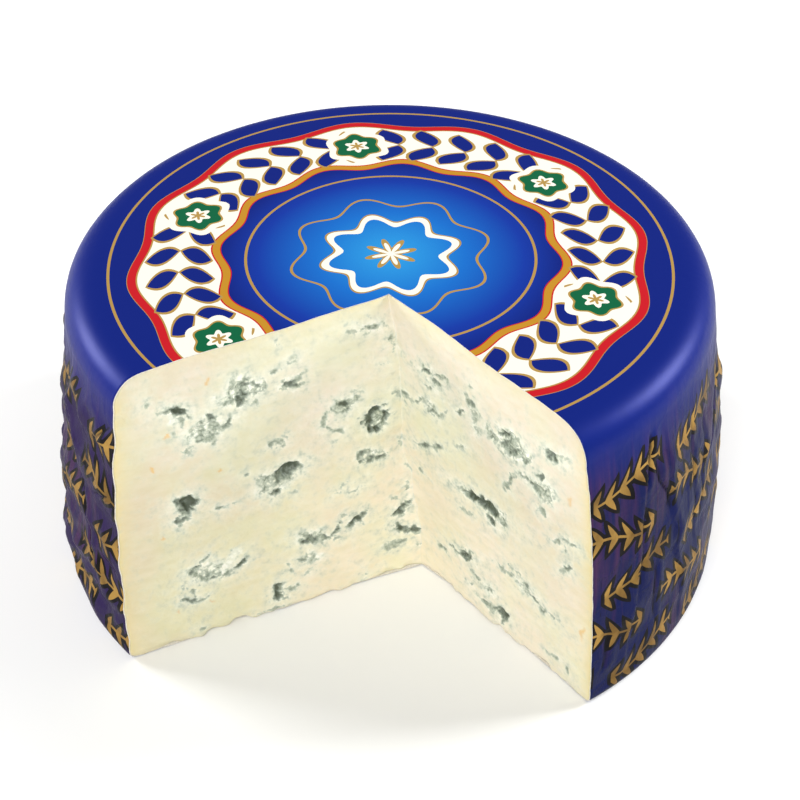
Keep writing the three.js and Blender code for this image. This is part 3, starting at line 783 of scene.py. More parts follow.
def paste_lift(turn, up, from_cut):
    """The same for the cheese, which fills the foil at the cuts except where a pleat stands off it."""
    hidden = ease(from_cut, 0, HIDDEN_FROM)
    seen = lumps(turn, up) + no_deeper(creases(turn, up) * held(from_cut))
    return seen * (1 - hidden) + (lumps(turn, up) - HIDDEN_SINK) * hidden


print(len(PLEATS), "pleats,", len(CREASES), "directions of creases,", len(DENTS), "dents")

# %% [markdown]
# ## Grids
#
# The outside of the wheel is one grid. Its columns go round from the right-hand cut to the left-hand
# one, and its rows run from the corner out over the base, up the rim and back in over the top to the
# corner. The cut faces fill the two ends of that grid with a Coons patch, which blends four edge lines.
# At the corner all columns meet in one point, so equal points are merged and the pole is closed.


# %% Building blocks for closed skins
def edge_line(face, inset, rows, lift):
    """Along and height of a sheet's edge on a face, for all rows: base, rim and top. The rim row by
    row: the section's radius and height, raised along its outward direction by `lift` at the cut."""
    base_rows, foot_rows, side_rows, shoulder_rows, top_rows = rows
    radius, up, outward = rim_rows(inset, foot_rows, side_rows, shoulder_rows)
    flat = face_points(face, along_to(face, radius, up), up)
    turn = np.arctan2(flat[:, 1], flat[:, 0]) % (2 * np.pi) + face["laps"] * 2 * np.pi
    raised = lift(turn, up, np.zeros(len(up)))
    up = up + raised * outward[:, 1]
    rim = along_to(face, radius + raised * outward[:, 0], up)
    out = np.linspace(0, 1, base_rows, endpoint=False)
    back = np.linspace(1, 0, top_rows + 1)[1:]
    base = np.stack([out * rim[0], np.full(base_rows, up[0])], axis=-1)
    top_along = back * rim[-1]
    top_up = np.full(top_rows, HEIGHT - CROWN)
    for _ in range(2):
        x, y, _ = face_points(face, top_along, top_up).T
        top_up = crown_height(x, y, inset)
    top = np.stack([top_along, top_up], axis=-1)
    return np.concatenate([base, np.stack([rim, up], axis=-1), top])


def wheel_skin(inset, rows, shares, lift):
    """Grid of the wheel's outside between the two cuts, one column for each share of the way round.
    Rim rows are arcs, raised by `lift`. Base and top rows are rays from the corner to the rim, shifted
    so that the first and the last follow the cuts' real edges."""
    base_rows, foot_rows, side_rows, shoulder_rows, top_rows = rows
    radius, up, outward = rim_rows(inset, foot_rows, side_rows, shoulder_rows)
    right, left = (face_points(FACES[name], *edge_line(FACES[name], inset, rows, lift).T)
                   for name in ("right", "left"))
    rim = slice(base_rows, base_rows + len(radius))
    share = shares[:, None]
    start = np.arctan2(right[rim, 1], right[rim, 0]) % (2 * np.pi)
    end = np.arctan2(left[rim, 1], left[rim, 0]) % (2 * np.pi) + 2 * np.pi
    turn = start * (1 - share) + end * share
    from_cut = np.minimum(share, 1 - share) * (end - start) * radius
    raised = lift(turn, up, from_cut)
    reach = radius + raised * outward[:, 0]
    grid = np.zeros((len(shares), len(right), 3))
    lifted = up + raised * outward[:, 1]
    grid[:, rim] = np.stack([reach * np.cos(turn), reach * np.sin(turn), lifted], axis=-1)
    outwards = np.linspace(0, 1, base_rows, endpoint=False)
    inwards = np.linspace(1, 0, top_rows + 1)[1:]
    for part, ring, corner, out in ((slice(0, base_rows), rim.start, 0, outwards),
                                    (slice(rim.stop, None), rim.stop - 1, -1, inwards)):
        rays = right[corner] + out[None, :, None] * (grid[:, ring, None] - right[corner])
        shift_right = right[part] - rays[0]
        shift_left = left[part] - rays[-1]
        grid[:, part] = rays + (1 - share[..., None]) * shift_right + share[..., None] * shift_left
    top = slice(rim.stop, None)
    grid[:, top, 2] = crown_height(grid[:, top, 0], grid[:, top, 1], inset)
    grid[:, :base_rows, 2] = up[0]
    grid[0] = right
    grid[-1] = left
    return grid, turn, rim


def cut_patch(face, inset, rows, lift):
    """Coons patch of a cut face in along and height: opposite edges blended, corners counted once.
    Columns go from the corner to the rim, rows from the base to the top. The rows are spaced by the
    plain section's length, the same for both faces, so the faces share their points at the corner."""
    base_rows, foot_rows, side_rows, shoulder_rows, top_rows = rows
    edge = edge_line(face, inset, rows, lift)
    rim_count = foot_rows + side_rows + shoulder_rows + 1
    low = edge[:base_rows + 1]
    far = edge[base_rows:base_rows + rim_count]
    high = edge[base_rows + rim_count - 1:][::-1]
    s = np.linspace(0, 1, base_rows + 1)[:, None, None]
    radius, up, _ = rim_rows(inset, foot_rows, side_rows, shoulder_rows)
    length = np.concatenate([[0], np.cumsum(np.hypot(np.diff(radius), np.diff(up)))])
    t = (length / length[-1])[None, :, None]
    near = low[0] * (1 - t[0]) + high[0] * t[0]
    sides = (1 - t) * low[:, None] + t * high[:, None] + (1 - s) * near[None] + s * far[None]
    corners = ((1 - s) * (1 - t) * low[0] + s * (1 - t) * low[-1]
               + (1 - s) * t * high[0] + s * t * high[-1])
    return sides - corners


def grid_triangles(shape, first, flip=False):
    """Two triangles for each cell of a grid whose vertices are numbered row by row from `first`."""
    number = first + np.arange(shape[0] * shape[1]).reshape(shape[:2])
    a, b, c, d = number[:-1, :-1], number[1:, :-1], number[1:, 1:], number[:-1, 1:]
    halves = np.concatenate([np.stack([a, b, c], -1).reshape(-1, 3), np.stack([a, c, d], -1).reshape(-1, 3)])
    return halves[:, ::-1] if flip else halves


def join_grids(parts):
    """Joins grids into one closed skin. Each part is (points, extra values per point, flip). Equal
    points are merged, the first part's values win, and triangles that lost a corner are dropped."""
    points = np.concatenate([p.reshape(-1, 3) for p, _, _ in parts])
    extras = {key: np.concatenate([np.asarray(e[key], float).ravel() for _, e, _ in parts])
              for key in parts[0][1]}
    triangles = []
    owner = []
    first = 0
    for index, (p, _, flip) in enumerate(parts):
        cells = grid_triangles(p.shape, first, flip)
        triangles.append(cells)
        owner.append(np.full(len(cells), index))
        first += p.shape[0] * p.shape[1]
    triangles = np.concatenate(triangles)
    owner = np.concatenate(owner)
    _, keep, same = np.unique(np.round(points, 5), axis=0, return_index=True, return_inverse=True)
    triangles = same.ravel()[triangles]
    whole = (triangles[:, 0] != triangles[:, 1]) & (triangles[:, 1] != triangles[:, 2])
    whole &= triangles[:, 2] != triangles[:, 0]
    return points[keep], {k: v[keep] for k, v in extras.items()}, triangles[whole], owner[whole]


def is_closed(triangles):
    """True if every edge is used once in each direction."""
    pairs = np.concatenate([triangles[:, [0, 1]], triangles[:, [1, 2]], triangles[:, [2, 0]]])
    code = pairs[:, 0] * (pairs.max() + 1) + pairs[:, 1]
    back = pairs[:, 1] * (pairs.max() + 1) + pairs[:, 0]
    return len(np.unique(code)) == len(code) and np.array_equal(np.sort(code), np.sort(back))


def volume(points, triangles):
    """Volume inside a closed skin: the sum of signed tetrahedra from the origin, in cubic centimetres."""
    a, b, c = (points[triangles[:, k]] for k in range(3))
    return float((np.cross(a, b) * c).sum() / 6000)


def make_piece(name, points, triangles, values, slots=None):
    """A mesh object from points in millimetres, with one float attribute for each entry of `values`."""
    mesh = bpy.data.meshes.new(name)
    mesh.from_pydata((points * METRES).tolist(), [], triangles.tolist())
    mesh.shade_smooth()
    for key, value in values.items():
        mesh.attributes.new(key, "FLOAT", "POINT").data.foreach_set("value", value.astype(np.float32))
    if slots is not None:
        mesh.polygons.foreach_set("material_index", slots.astype(np.int32))
    piece = bpy.data.objects.new(name, mesh)
    bpy.context.scene.collection.objects.link(piece)
    print(f"{name}: {len(points)} points, {len(triangles)} triangles, closed {is_closed(triangles)}, "
          f"{volume(points, triangles):.1f} cm3")
    return piece


# %% [markdown]
# ## The cheese
#
# One closed skin: two cut faces with fine cells, about 0.45 mm, because the cavities and the mould are
# what the eye goes to, and a plain outside that the foil hides. It follows the foil's broad lumps.

# %% Make the cheese
CHEESE_INSET = 0.3
CHEESE_ROWS = (190, 5, 172, 24, 190)
CHEESE_COLUMNS = 37
RIND_REACH = 2.2
RIND_BELOW_TOP = 3.0


def hidden_shares(columns):
    """Shares of the way round for a hidden skin: close together at the cuts and even between them."""
    return np.concatenate([[0, 0.0015, 0.004], np.linspace(0.01, 0.99, columns - 5), [0.996, 0.9985, 1]])


def paste_values(face, patch):
    """Mould, bloom, crumbs, ochre and rind over a cut face. Rind is how near a place is to the rim,
    and is faint along the top."""
    along, up = patch[..., 0], patch[..., 1]
    fields = vein_fields(face, along, up)
    x, y, _ = np.moveaxis(face_points(face, along, up), -1, 0)
    to_side = side_radius(up) - np.hypot(x, y)
    to_top = HEIGHT - CROWN - up
    rim = np.minimum(to_side, to_top + RIND_BELOW_TOP)
    rind = np.exp(-np.maximum(rim, 0) / RIND_REACH)
    return {key: fields[key] for key in ("mould", "bloom", "crumbs", "ochre")} | {"rind": rind}


parts = []
for name, face in FACES.items():
    patch = cut_patch(face, CHEESE_INSET, CHEESE_ROWS, paste_lift)
    parts.append((face_points(face, patch[..., 0], patch[..., 1]), paste_values(face, patch), name == "left"))
skin, _, _ = wheel_skin(CHEESE_INSET, CHEESE_ROWS, hidden_shares(CHEESE_COLUMNS), paste_lift)
plain = {key: np.full(skin.shape[:2], level) for key, level in
         {"mould": 0, "bloom": 0, "crumbs": 0, "ochre": 0, "rind": 1}.items()}
parts.append((skin, plain, False))
points, values, triangles, _ = join_grids(parts)
cheese = make_piece("cheese_paste", points, triangles, values)
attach(cheese, "root")
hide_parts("cheese")

# %% [markdown]
# ## The foil
#
# One closed skin again: the printed outside, the bare inside and the two thin cut edges between them.
# The real sheet is under 0.1 mm thick. It is drawn 0.25 mm thick so that its edge still shows.
# The print needs coordinates that follow the sheet, so a UV map gives millimetres round the side and
# up it, and plain x and y on the underside.

# %% Make the foil
FOIL_THICKNESS = 0.25
FOIL_ROWS = (6, 4, 104, 16, 30)
FOIL_COLUMNS = 556
LINING_COLUMNS = 52
UV_SCALE = 0.001


def foil_skin(inset, shares, lift):
    """A side of the foil, and the arc length in mm round the side at each of its points."""
    grid, turn, rim = wheel_skin(inset, FOIL_ROWS, shares, lift)
    arc = np.zeros(grid.shape[:2])
    arc[:, rim] = turn * FOOT_RADIUS
    arc[:, :rim.start] = arc[:, rim.start, None]
    arc[:, rim.stop:] = arc[:, rim.stop - 1, None]
    return grid, arc


outside, outside_arc = foil_skin(0, np.linspace(0, 1, FOIL_COLUMNS + 1), foil_lift)
lining, lining_arc = foil_skin(FOIL_THICKNESS, hidden_shares(LINING_COLUMNS + 1), lining_lift)
edge_parts = []
for column, flip in ((0, True), (-1, False)):
    strip = np.stack([outside[column], lining[column]])
    edge_parts.append((strip, {"arc": np.stack([outside_arc[column], lining_arc[column]])}, flip))
points, values, triangles, owner = join_grids(
    [(outside, {"arc": outside_arc}, False), (lining, {"arc": lining_arc}, True)] + edge_parts)
# Painted shade: how dark the bottom of each dent's groove is painted on the foil.
gaps_and_groove_shade = dents(values["arc"] / FOOT_RADIUS, points[:, 2])[1]
foil = make_piece("printed_foil", points, triangles, {"gaps_and_groove_shade": gaps_and_groove_shade}, slots=(owner > 0).astype(int))


def add_print_coordinates(piece, points, triangles, arc):
    """A UV map for each corner of each triangle: x and y on the underside, where all three
    corners lie flat, and arc length and height everywhere else."""
    corner = triangles.ravel()
    up = points[triangles][..., 2]
    out = np.hypot(points[triangles][..., 0], points[triangles][..., 1])
    flat = (out.max(axis=1) <= FOOT_RADIUS - FOOT_ROUNDING + 0.01) & (up.max(axis=1) < SIDE_FOOT)
    flat = np.repeat(flat, 3)
    u = np.where(flat, points[corner, 0], arc[corner])
    v = np.where(flat, points[corner, 1], points[corner, 2])
    layer = piece.data.uv_layers.new(name="print_mm")
    layer.data.foreach_set("uv", (np.stack([u, v], axis=-1) * UV_SCALE).ravel().astype(np.float32))


add_print_coordinates(foil, points, triangles, values["arc"])
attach(foil, "root")
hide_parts("foil_wrap")

# %% [markdown]
# ## Tools for materials
#
# Colours are written as the hex values a paint chart gives and turned to linear light by one function.
# One function adds a node of any kind with its settings and its links. A node given as an input stands
# for its first output in use, so a chain of nodes reads like the sum that it works out. A texture's
# scale is how many of its features fit in a metre.


# %% Colours and nodes
def paint(code):
    """Linear red, green, blue and alpha from an sRGB hex value."""
    channels = [int(code[i:i + 2], 16) / 255 for i in (1, 3, 5)]
    return tuple(c / 12.92 if c <= 0.04045 else ((c + 0.055) / 1.055) ** 2.4 for c in channels) + (1.0,)


def scale_for(size):
    """Scale of a texture whose features are `size` mm wide."""
    return 1 / (size * METRES)


def add(tree, kind, inputs=(), stops=(), sharp=False, **settings):
    """One node of any kind. `inputs` is a list in the order of the inputs in use, or a dictionary by
    their names: a node or a socket is linked, and a number, vector or colour is set. `settings` are
    its properties. `stops` are a ramp's [place, hex colour] or [place, hex colour, alpha], with an
    edge at each of them where `sharp` is true."""
    node = tree.nodes.new("ShaderNode" + kind)
    for key, value in settings.items():
        setattr(node, key, value)
    in_use = [socket for socket in node.inputs if socket.enabled]
    for key, value in inputs.items() if isinstance(inputs, dict) else enumerate(inputs):
        socket = in_use[key] if isinstance(key, int) else node.inputs[key]
        if isinstance(value, bpy.types.Node):
            value = next(output for output in value.outputs if output.enabled)
        if isinstance(value, bpy.types.NodeSocket):
            tree.links.new(value, socket)
        else:
            socket.default_value = value
    if stops:
        node.color_ramp.interpolation = "CONSTANT" if sharp else "LINEAR"
        node.color_ramp.elements.remove(node.color_ramp.elements[1])
    for index, (place, code, *alpha) in enumerate(stops):
        element = node.color_ramp.elements.new(place) if index else node.color_ramp.elements[0]
        element.position = place
        element.color = paint(code)[:3] + (alpha[0] if alpha else 1.0,)
    return node


def new_material(name):
    """A material and its empty node tree."""
    material = bpy.data.materials.new(name)
    material.use_nodes = True
    material.node_tree.nodes.clear()
    return material, material.node_tree


print("cheese cream as linear light:", [round(c, 3) for c in paint("#EFE6C8")[:3]])

# %% [markdown]
# ## Blue cheese paste
#
# Fresh paste is a moist, slightly translucent curd cut by a blade: cream, matt with a faint sheen, and
# a touch yellower in broad soft clouds and towards the rind. The blade leaves faint smears. The cream
# is painted a little darker up the faces and towards the outer rim, as painted shade, and paler low down
# near the front, as painted light. A few specks are ochre.

# %% Material of the cheese: the paste
CLOUD = 18.0
HUE_AREA = 29.0
FLECK = 2.4
GRAIN = 0.9
SMEAR = (6.0, 6.0, 2.2)
SMEAR_TURN = (0.35, 0.2, 0.0)

paste_material, tree = new_material("blue_cheese_paste")
place = add(tree, "TexCoord").outputs["Object"]
mould, bloom, crumbs, ochre, rind = (add(tree, "Attribute", attribute_name=key).outputs["Fac"]
                                     for key in ("mould", "bloom", "crumbs", "ochre", "rind"))
clouds, flecks = (add(tree, "TexNoise", {"Vector": place, "Scale": scale_for(size), "Detail": 4})
                  for size in (CLOUD, FLECK))
_, forward, height = add(tree, "SeparateXYZ", [place]).outputs
# Painted shade: the cream turns a little darker higher up the faces, to even out the stronger light there.
high_share = add(tree, "MapRange", [height, 0, 90 * METRES])
cloudy_and_painted_top_shade = add(tree, "Math", [clouds, 0.5, high_share], operation="MULTIPLY_ADD")
cream = add(tree, "ValToRGB", [cloudy_and_painted_top_shade],
            stops=[[0.2, "#F0E9D0"], [0.5, "#ECE4CD"], [0.8, "#E5DEC8"], [1.0, "#E6E0D0"]])
# Painted shade: the cream is a little darker towards the outer rim.
level = add(tree, "VectorMath", [place, (1, 1, 0)], operation="MULTIPLY")
out = add(tree, "VectorMath", [level], operation="LENGTH")
painted_outer_shade = add(tree, "MapRange", [out, 30 * METRES, 90 * METRES])
cream = add(tree, "Mix", [painted_outer_shade, cream, paint("#F0EEEA")], data_type="RGBA", blend_type="MULTIPLY")
# Painted light: the paste is paler low down near the front, where the lamps light it less.
front_light_share = add(tree, "MapRange", [forward, -30 * METRES, -55 * METRES, 0, 0.6])
lower = add(tree, "MapRange", [height, 85 * METRES, 10 * METRES])
painted_front_light = add(tree, "Math", [front_light_share, lower], operation="MULTIPLY")
cream = add(tree, "Mix", [painted_front_light, cream, paint("#F6F0E0")], data_type="RGBA")
print("cream of the paste:", len(tree.nodes), "nodes")

# %% Material of the cheese: hues, smears, specks and rind
areas = add(tree, "TexNoise", {"Vector": place, "Scale": scale_for(HUE_AREA), "Detail": 2})
warm_or_green = add(tree, "ValToRGB", [areas], stops=[[0.4, "#FFFBF9"], [0.6, "#FAFEF3"]])
cream = add(tree, "Mix", [1, cream, warm_or_green], data_type="RGBA", blend_type="MULTIPLY")
dragged = add(tree, "Mapping", {"Vector": place, "Rotation": SMEAR_TURN,
                                "Scale": [scale_for(size) for size in SMEAR]})
smears = add(tree, "TexNoise", {"Vector": dragged, "Scale": 1, "Detail": 5})
smeared = add(tree, "ValToRGB", [smears], stops=[[0.3, "#F8F7EF"], [0.68, "#FFFFFF"]])
cream = add(tree, "Mix", [1, cream, smeared], data_type="RGBA", blend_type="MULTIPLY")
specked = add(tree, "Mix", [ochre, cream, paint("#D9AA58")], data_type="RGBA")
ringed = add(tree, "Mix", [rind, specked, paint("#DECB91")], data_type="RGBA")
print("with specks and rind:", len(tree.nodes), "nodes")

# %% [markdown]
# Mould is grey-green where it is thick and paler where it is thin, and a pale bloom surrounds it. The
# amounts come from the mesh, and fine noise breaks their edges at a scale below the mesh's cells. In
# the crumbs the mould follows the gaps between the grains of curd, which a Voronoi texture draws.

# %% Material of the cheese: bloom
fine = add(tree, "TexNoise", {"Vector": place, "Scale": scale_for(GRAIN), "Detail": 3})
bloom_edge = add(tree, "Math", [flecks, 1.2, -0.6], operation="MULTIPLY_ADD")
bloom_torn = add(tree, "Math", [bloom, bloom_edge], operation="ADD")
bloom_amount = add(tree, "MapRange", [bloom_torn, 0.05, 0.9, 0, 0.95])
bloom_mix = add(tree, "Math", [fine, 0.5, bloom_edge], operation="MULTIPLY_ADD")
# The palest stop gives near-white flecks in the bloom: partly white crumbs of curd, partly painted glints of
# moisture.
bloom_colour = add(tree, "ValToRGB", [bloom_mix],
                   stops=[[0.02, "#F5F6EB"], [0.14, "#E7E8D7"], [0.28, "#D8DBCA"], [0.5, "#BDC3B3"]])
bloomed = add(tree, "Mix", [bloom_amount, ringed, bloom_colour], data_type="RGBA")
print("with bloom:", len(tree.nodes), "nodes")

# %% Material of the cheese: mould
CURD_GRAIN = 2.3
GRAIN_PUSH = 1.6

warp = add(tree, "TexNoise", {"Vector": place, "Scale": scale_for(2.0), "Detail": 2}).outputs["Color"]
pushed = add(tree, "VectorMath", [warp, (GRAIN_PUSH * METRES,) * 3, place], operation="MULTIPLY_ADD")
gaps = add(tree, "TexVoronoi", {"Vector": pushed, "Scale": scale_for(CURD_GRAIN)}, feature="DISTANCE_TO_EDGE")
crack = add(tree, "MapRange", [gaps, 0, 0.26, 0.9, 0])
crack_part = add(tree, "Math", [crack, crumbs], operation="MULTIPLY")
broken = add(tree, "MapRange", [flecks, 0.4, 0.6, 0.35, 1])
gaps_and_groove_shade = add(tree, "Math", [crack_part, broken], operation="MULTIPLY")
mould_edge = add(tree, "Math", [fine, 0.5], operation="SUBTRACT")
mould_mottle = add(tree, "Math", [flecks, 1.1, -0.55], operation="MULTIPLY_ADD")
mould_torn = add(tree, "Math", [mould_edge, mould_mottle], operation="ADD")
mould_most = add(tree, "Math", [mould, gaps_and_groove_shade], operation="MAXIMUM")
mould_sum = add(tree, "Math", [mould_torn, bloom, mould_most], operation="MULTIPLY_ADD")
mould_colour = add(tree, "ValToRGB", [mould_sum],
                   stops=[[0.05, "#CBD2C0", 0.0], [0.18, "#B7BEAC", 0.8], [0.42, "#9AA391"],
                          [0.7, "#757E71"], [0.95, "#596150"], [1.0, "#515949"]])
veined = add(tree, "Mix", [mould_colour.outputs["Alpha"], bloomed, mould_colour], data_type="RGBA")
print("with mould:", len(tree.nodes), "nodes")

# %% Finish of the paste
relief = add(tree, "Math", [flecks, 0.5, fine], operation="MULTIPLY_ADD")
bump = add(tree, "Bump", {"Height": relief, "Strength": 0.35, "Distance": 0.25 * METRES})
paste = add(tree, "BsdfPrincipled", {
    "Base Color": veined, "Roughness": 0.52, "IOR": 1.45, "Specular IOR Level": 0.35, "Normal": bump,
    "Subsurface Weight": 0.2, "Subsurface Radius": (1.0, 0.8, 0.5), "Subsurface Scale": 1.2 * METRES})
add(tree, "OutputMaterial", {"Surface": paste})
cheese.data.materials.append(paste_material)
print("paste material:", len(tree.nodes), "nodes")

# %% [markdown]
# ## Printed foil
#
# The wrapper is aluminium foil printed with coloured lacquer: deep blue, satin on the flat top and
# livelier where it is creased. The print here is a plain ornament of its own: a scalloped cream band
# edged in red and ochre, with a garland of blue leaves and six green flowers, a rosette in the middle,
# and gold sprigs scattered over the side. All of it is worked out from the distance to the axis, the
# angle round it, and the sheet's own millimetres.

# %% Sizes of the print
BAND = {"radius": 57.0, "half_width": 9.6, "scallops": 12, "swell": 1.5, "edge": 2.9}
LEAF = {"pairs": 36, "middle": 4.6, "half_length": 4.7, "half_width": 4.2, "lean": 0.55}
FLOWER = {"count": 6, "radius": 6.2, "petals": 6, "petal_depth": 0.7, "clear": 0.72}
ROSETTE = {"lobes": 8, "lobe_depth": 2.2, "half_radius": 25.0}
SPRIG = {"row": 15.6, "rows": 5, "unit": 34.0, "stagger": 19.0, "half_length": 13.0, "leaf_spacing": 5.2,
         "leaf_half_width": 1.2, "leaf_taper": 0.06, "lean": 0.6, "tilt": 0.17, "wave": 1.0,
         "half_stem": 0.4, "bends": 0.24}
NAVY = "#10237A"
GOLD = "#B28F4C"
OCHRE = "#C08A2A"
RED = "#C41D27"
CREAM = "#F6F2E4"
GREEN = "#12623F"

# %% Places on the top: radius and angle
foil_material, tree = new_material("printed_aluminium_foil")
place = add(tree, "TexCoord").outputs["Object"]
across, forward, height = add(tree, "SeparateXYZ", [place]).outputs
level = add(tree, "VectorMath", [place, (1 / METRES, 1 / METRES, 0)], operation="MULTIPLY")
radius = add(tree, "VectorMath", [level], operation="LENGTH")
angle = add(tree, "Math", [forward, across], operation="ARCTAN2")


def sector_arc(count):
    """Arc in mm from the middle of the nearest of `count` equal sectors: where the angle lies in its
    sector, from -0.5 to 0.5, times the sector's angle and the radius."""
    sectors = add(tree, "Math", [angle, count / (2 * math.pi), 0.5], operation="MULTIPLY_ADD")
    part = add(tree, "Math", [add(tree, "Math", [sectors], operation="FRACT"), 0.5], operation="SUBTRACT")
    turn = add(tree, "Math", [part, 2 * math.pi / count], operation="MULTIPLY")
    return add(tree, "Math", [turn, radius], operation="MULTIPLY")


def lobes(count):
    """Cosine with `count` waves round the axis."""
    return add(tree, "Math", [add(tree, "Math", [angle, count], operation="MULTIPLY")], operation="COSINE")


print("radius and angle:", len(tree.nodes), "nodes")

# %% Print on the top: the cream band and its edges
off_ring = add(tree, "Math", [radius, BAND["radius"]], operation="SUBTRACT")
off = add(tree, "Math", [off_ring], operation="ABSOLUTE")
off_scallops = add(tree, "Math", [lobes(BAND["scallops"]), -BAND["swell"], off], operation="MULTIPLY_ADD")
past_band = add(tree, "Math", [off_scallops, BAND["half_width"]], operation="SUBTRACT")
edge_place = add(tree, "Math", [past_band, 0.1, 0.5], operation="MULTIPLY_ADD")
outer_edge = add(tree, "ValToRGB", [edge_place], sharp=True,
                 stops=[[0.0, CREAM], [0.5, GOLD], [0.54, RED], [0.77, GOLD], [0.81, NAVY, 0.0]])
inner_edge = add(tree, "ValToRGB", [edge_place], sharp=True,
                 stops=[[0.0, CREAM], [0.5, RED], [0.54, OCHRE], [0.75, RED], [0.78, NAVY, 0.0]])
is_outer = add(tree, "Math", [off_ring, 0], operation="GREATER_THAN")
band = add(tree, "Mix", [is_outer, inner_edge, outer_edge], data_type="RGBA")
band_mask = add(tree, "Math", [past_band, BAND["edge"]], operation="LESS_THAN")
print("with the band:", len(tree.nodes), "nodes")

# %% Print on the top: leaves and flowers
leaf_off = add(tree, "Math", [off, LEAF["middle"]], operation="SUBTRACT")
leaned = add(tree, "Math", [leaf_off, -LEAF["lean"], sector_arc(LEAF["pairs"])], operation="MULTIPLY_ADD")
leaf_across = add(tree, "Math", [leaned], operation="ABSOLUTE")
leaf_along = add(tree, "Math", [leaf_off, LEAF["half_length"]], operation="DIVIDE")
leaf_share = add(tree, "Math", [leaf_along, leaf_along], operation="MULTIPLY")
leaf = add(tree, "Math", [leaf_across, 1 / LEAF["half_width"], leaf_share], operation="MULTIPLY_ADD")
leaves = add(tree, "ValToRGB", [add(tree, "Math", [leaf, 0.5], operation="MULTIPLY")], sharp=True,
             stops=[[0.0, NAVY], [0.38, GOLD], [0.5, CREAM, 0.0]])
flower_arc = sector_arc(FLOWER["count"])
flower_place = add(tree, "CombineXYZ", [flower_arc, off, 0])
flower_far = add(tree, "VectorMath", [flower_place], operation="LENGTH")
flower_turn = add(tree, "Math", [off_ring, flower_arc], operation="ARCTAN2")
petal_turn = add(tree, "Math", [flower_turn, FLOWER["petals"]], operation="MULTIPLY")
petals = add(tree, "Math", [petal_turn], operation="COSINE")
petalled = add(tree, "Math", [petals, FLOWER["petal_depth"], flower_far], operation="MULTIPLY_ADD")
flower = add(tree, "Math", [petalled, 0.5 / FLOWER["radius"]], operation="MULTIPLY")
clear_of_flower = add(tree, "Math", [flower, FLOWER["clear"]], operation="GREATER_THAN")
leaf_mask = add(tree, "Math", [leaves.outputs["Alpha"], clear_of_flower], operation="MULTIPLY")
flowers = add(tree, "ValToRGB", [flower], sharp=True, stops=[
    [0.0, GOLD], [0.12, CREAM], [0.24, GREEN], [0.5, GOLD], [0.545, CREAM], [0.62, CREAM, 0.0]])
print("with leaves and flowers:", len(tree.nodes), "nodes")

# %% Print on the top: the rosette, the fine rings and the glow
wavy = add(tree, "Math", [lobes(ROSETTE["lobes"]), ROSETTE["lobe_depth"], radius], operation="MULTIPLY_ADD")
rosette_share = add(tree, "Math", [wavy, 0.5 / ROSETTE["half_radius"]], operation="MULTIPLY")
rosette = add(tree, "ValToRGB", [rosette_share], sharp=True, stops=[
    [0.0, CREAM], [0.06, GOLD], [0.1, NAVY, 0.0], [0.3, CREAM], [0.34, GOLD],
    [0.355, NAVY, 0.0], [0.5, GOLD], [0.515, NAVY, 0.0]])
ring_share = add(tree, "Math", [radius, 0.01], operation="MULTIPLY")
rings = add(tree, "ValToRGB", [ring_share], sharp=True, stops=[
    [0.0, GOLD, 0.0], [0.385, GOLD], [0.391, GOLD, 0.0], [0.752, GOLD], [0.758, GOLD, 0.0]])
glow = add(tree, "ValToRGB", [ring_share],
           stops=[[0.0, "#2F9BDC"], [0.2, "#1A6CC4"], [0.36, "#15389E"], [0.46, NAVY]])
print("with the middle:", len(tree.nodes), "nodes")

# %% [markdown]
# The sprigs stand in rows round the side, every other row facing the other way and each row shifted.
# A row and a unit in it are found with whole-number parts of the sheet's millimetres. In a unit, a
# stem is a thin wave, and leaves are bars that lean away from it and narrow outwards.

# %% Gold sprigs on the side: rows and units
sheet = add(tree, "UVMap", uv_map="print_mm")
round_mm, up_mm = (add(tree, "Math", [part, 1 / METRES], operation="MULTIPLY")
                   for part in add(tree, "SeparateXYZ", [sheet]).outputs[:2])
row_share = add(tree, "Math", [up_mm, SPRIG["row"]], operation="DIVIDE")
row = add(tree, "Math", [row_share], operation="FLOOR")
row_part = add(tree, "Math", [row_share], operation="FRACT")
in_row = add(tree, "Math", [row_part, SPRIG["row"], -SPRIG["row"] / 2], operation="MULTIPLY_ADD")
odd = add(tree, "Math", [add(tree, "Math", [row, 0.5], operation="MULTIPLY")], operation="FRACT")
other_way = add(tree, "Math", [odd, -4, 1], operation="MULTIPLY_ADD")
faced = add(tree, "Math", [round_mm, other_way], operation="MULTIPLY")
shifted = add(tree, "Math", [row, SPRIG["stagger"], faced], operation="MULTIPLY_ADD")
unit_share = add(tree, "Math", [shifted, SPRIG["unit"]], operation="DIVIDE")
unit_part = add(tree, "Math", [unit_share], operation="FRACT")
in_unit = add(tree, "Math", [unit_part, SPRIG["unit"], -SPRIG["unit"] / 2], operation="MULTIPLY_ADD")
print("with the rows of sprigs:", len(tree.nodes), "nodes")

# %% Gold sprigs on the side: stems and leaves
bend_turn = add(tree, "Math", [in_unit, SPRIG["bends"]], operation="MULTIPLY")
bends = add(tree, "Math", [bend_turn], operation="SINE")
stem = add(tree, "Math", [in_unit, -SPRIG["tilt"], in_row], operation="MULTIPLY_ADD")
from_stem = add(tree, "Math", [bends, -SPRIG["wave"], stem], operation="MULTIPLY_ADD")
off_stem = add(tree, "Math", [from_stem], operation="ABSOLUTE")
leaned = add(tree, "Math", [off_stem, -SPRIG["lean"], in_unit], operation="MULTIPLY_ADD")
leaf_turn = add(tree, "Math", [leaned, SPRIG["leaf_spacing"]], operation="DIVIDE")
leaf_part = add(tree, "Math", [add(tree, "Math", [leaf_turn], operation="FRACT"), 0.5], operation="SUBTRACT")
leaf_away = add(tree, "Math", [leaf_part], operation="ABSOLUTE")
in_leaf = add(tree, "Math", [leaf_away, SPRIG["leaf_spacing"], -SPRIG["leaf_half_width"]],
              operation="MULTIPLY_ADD")
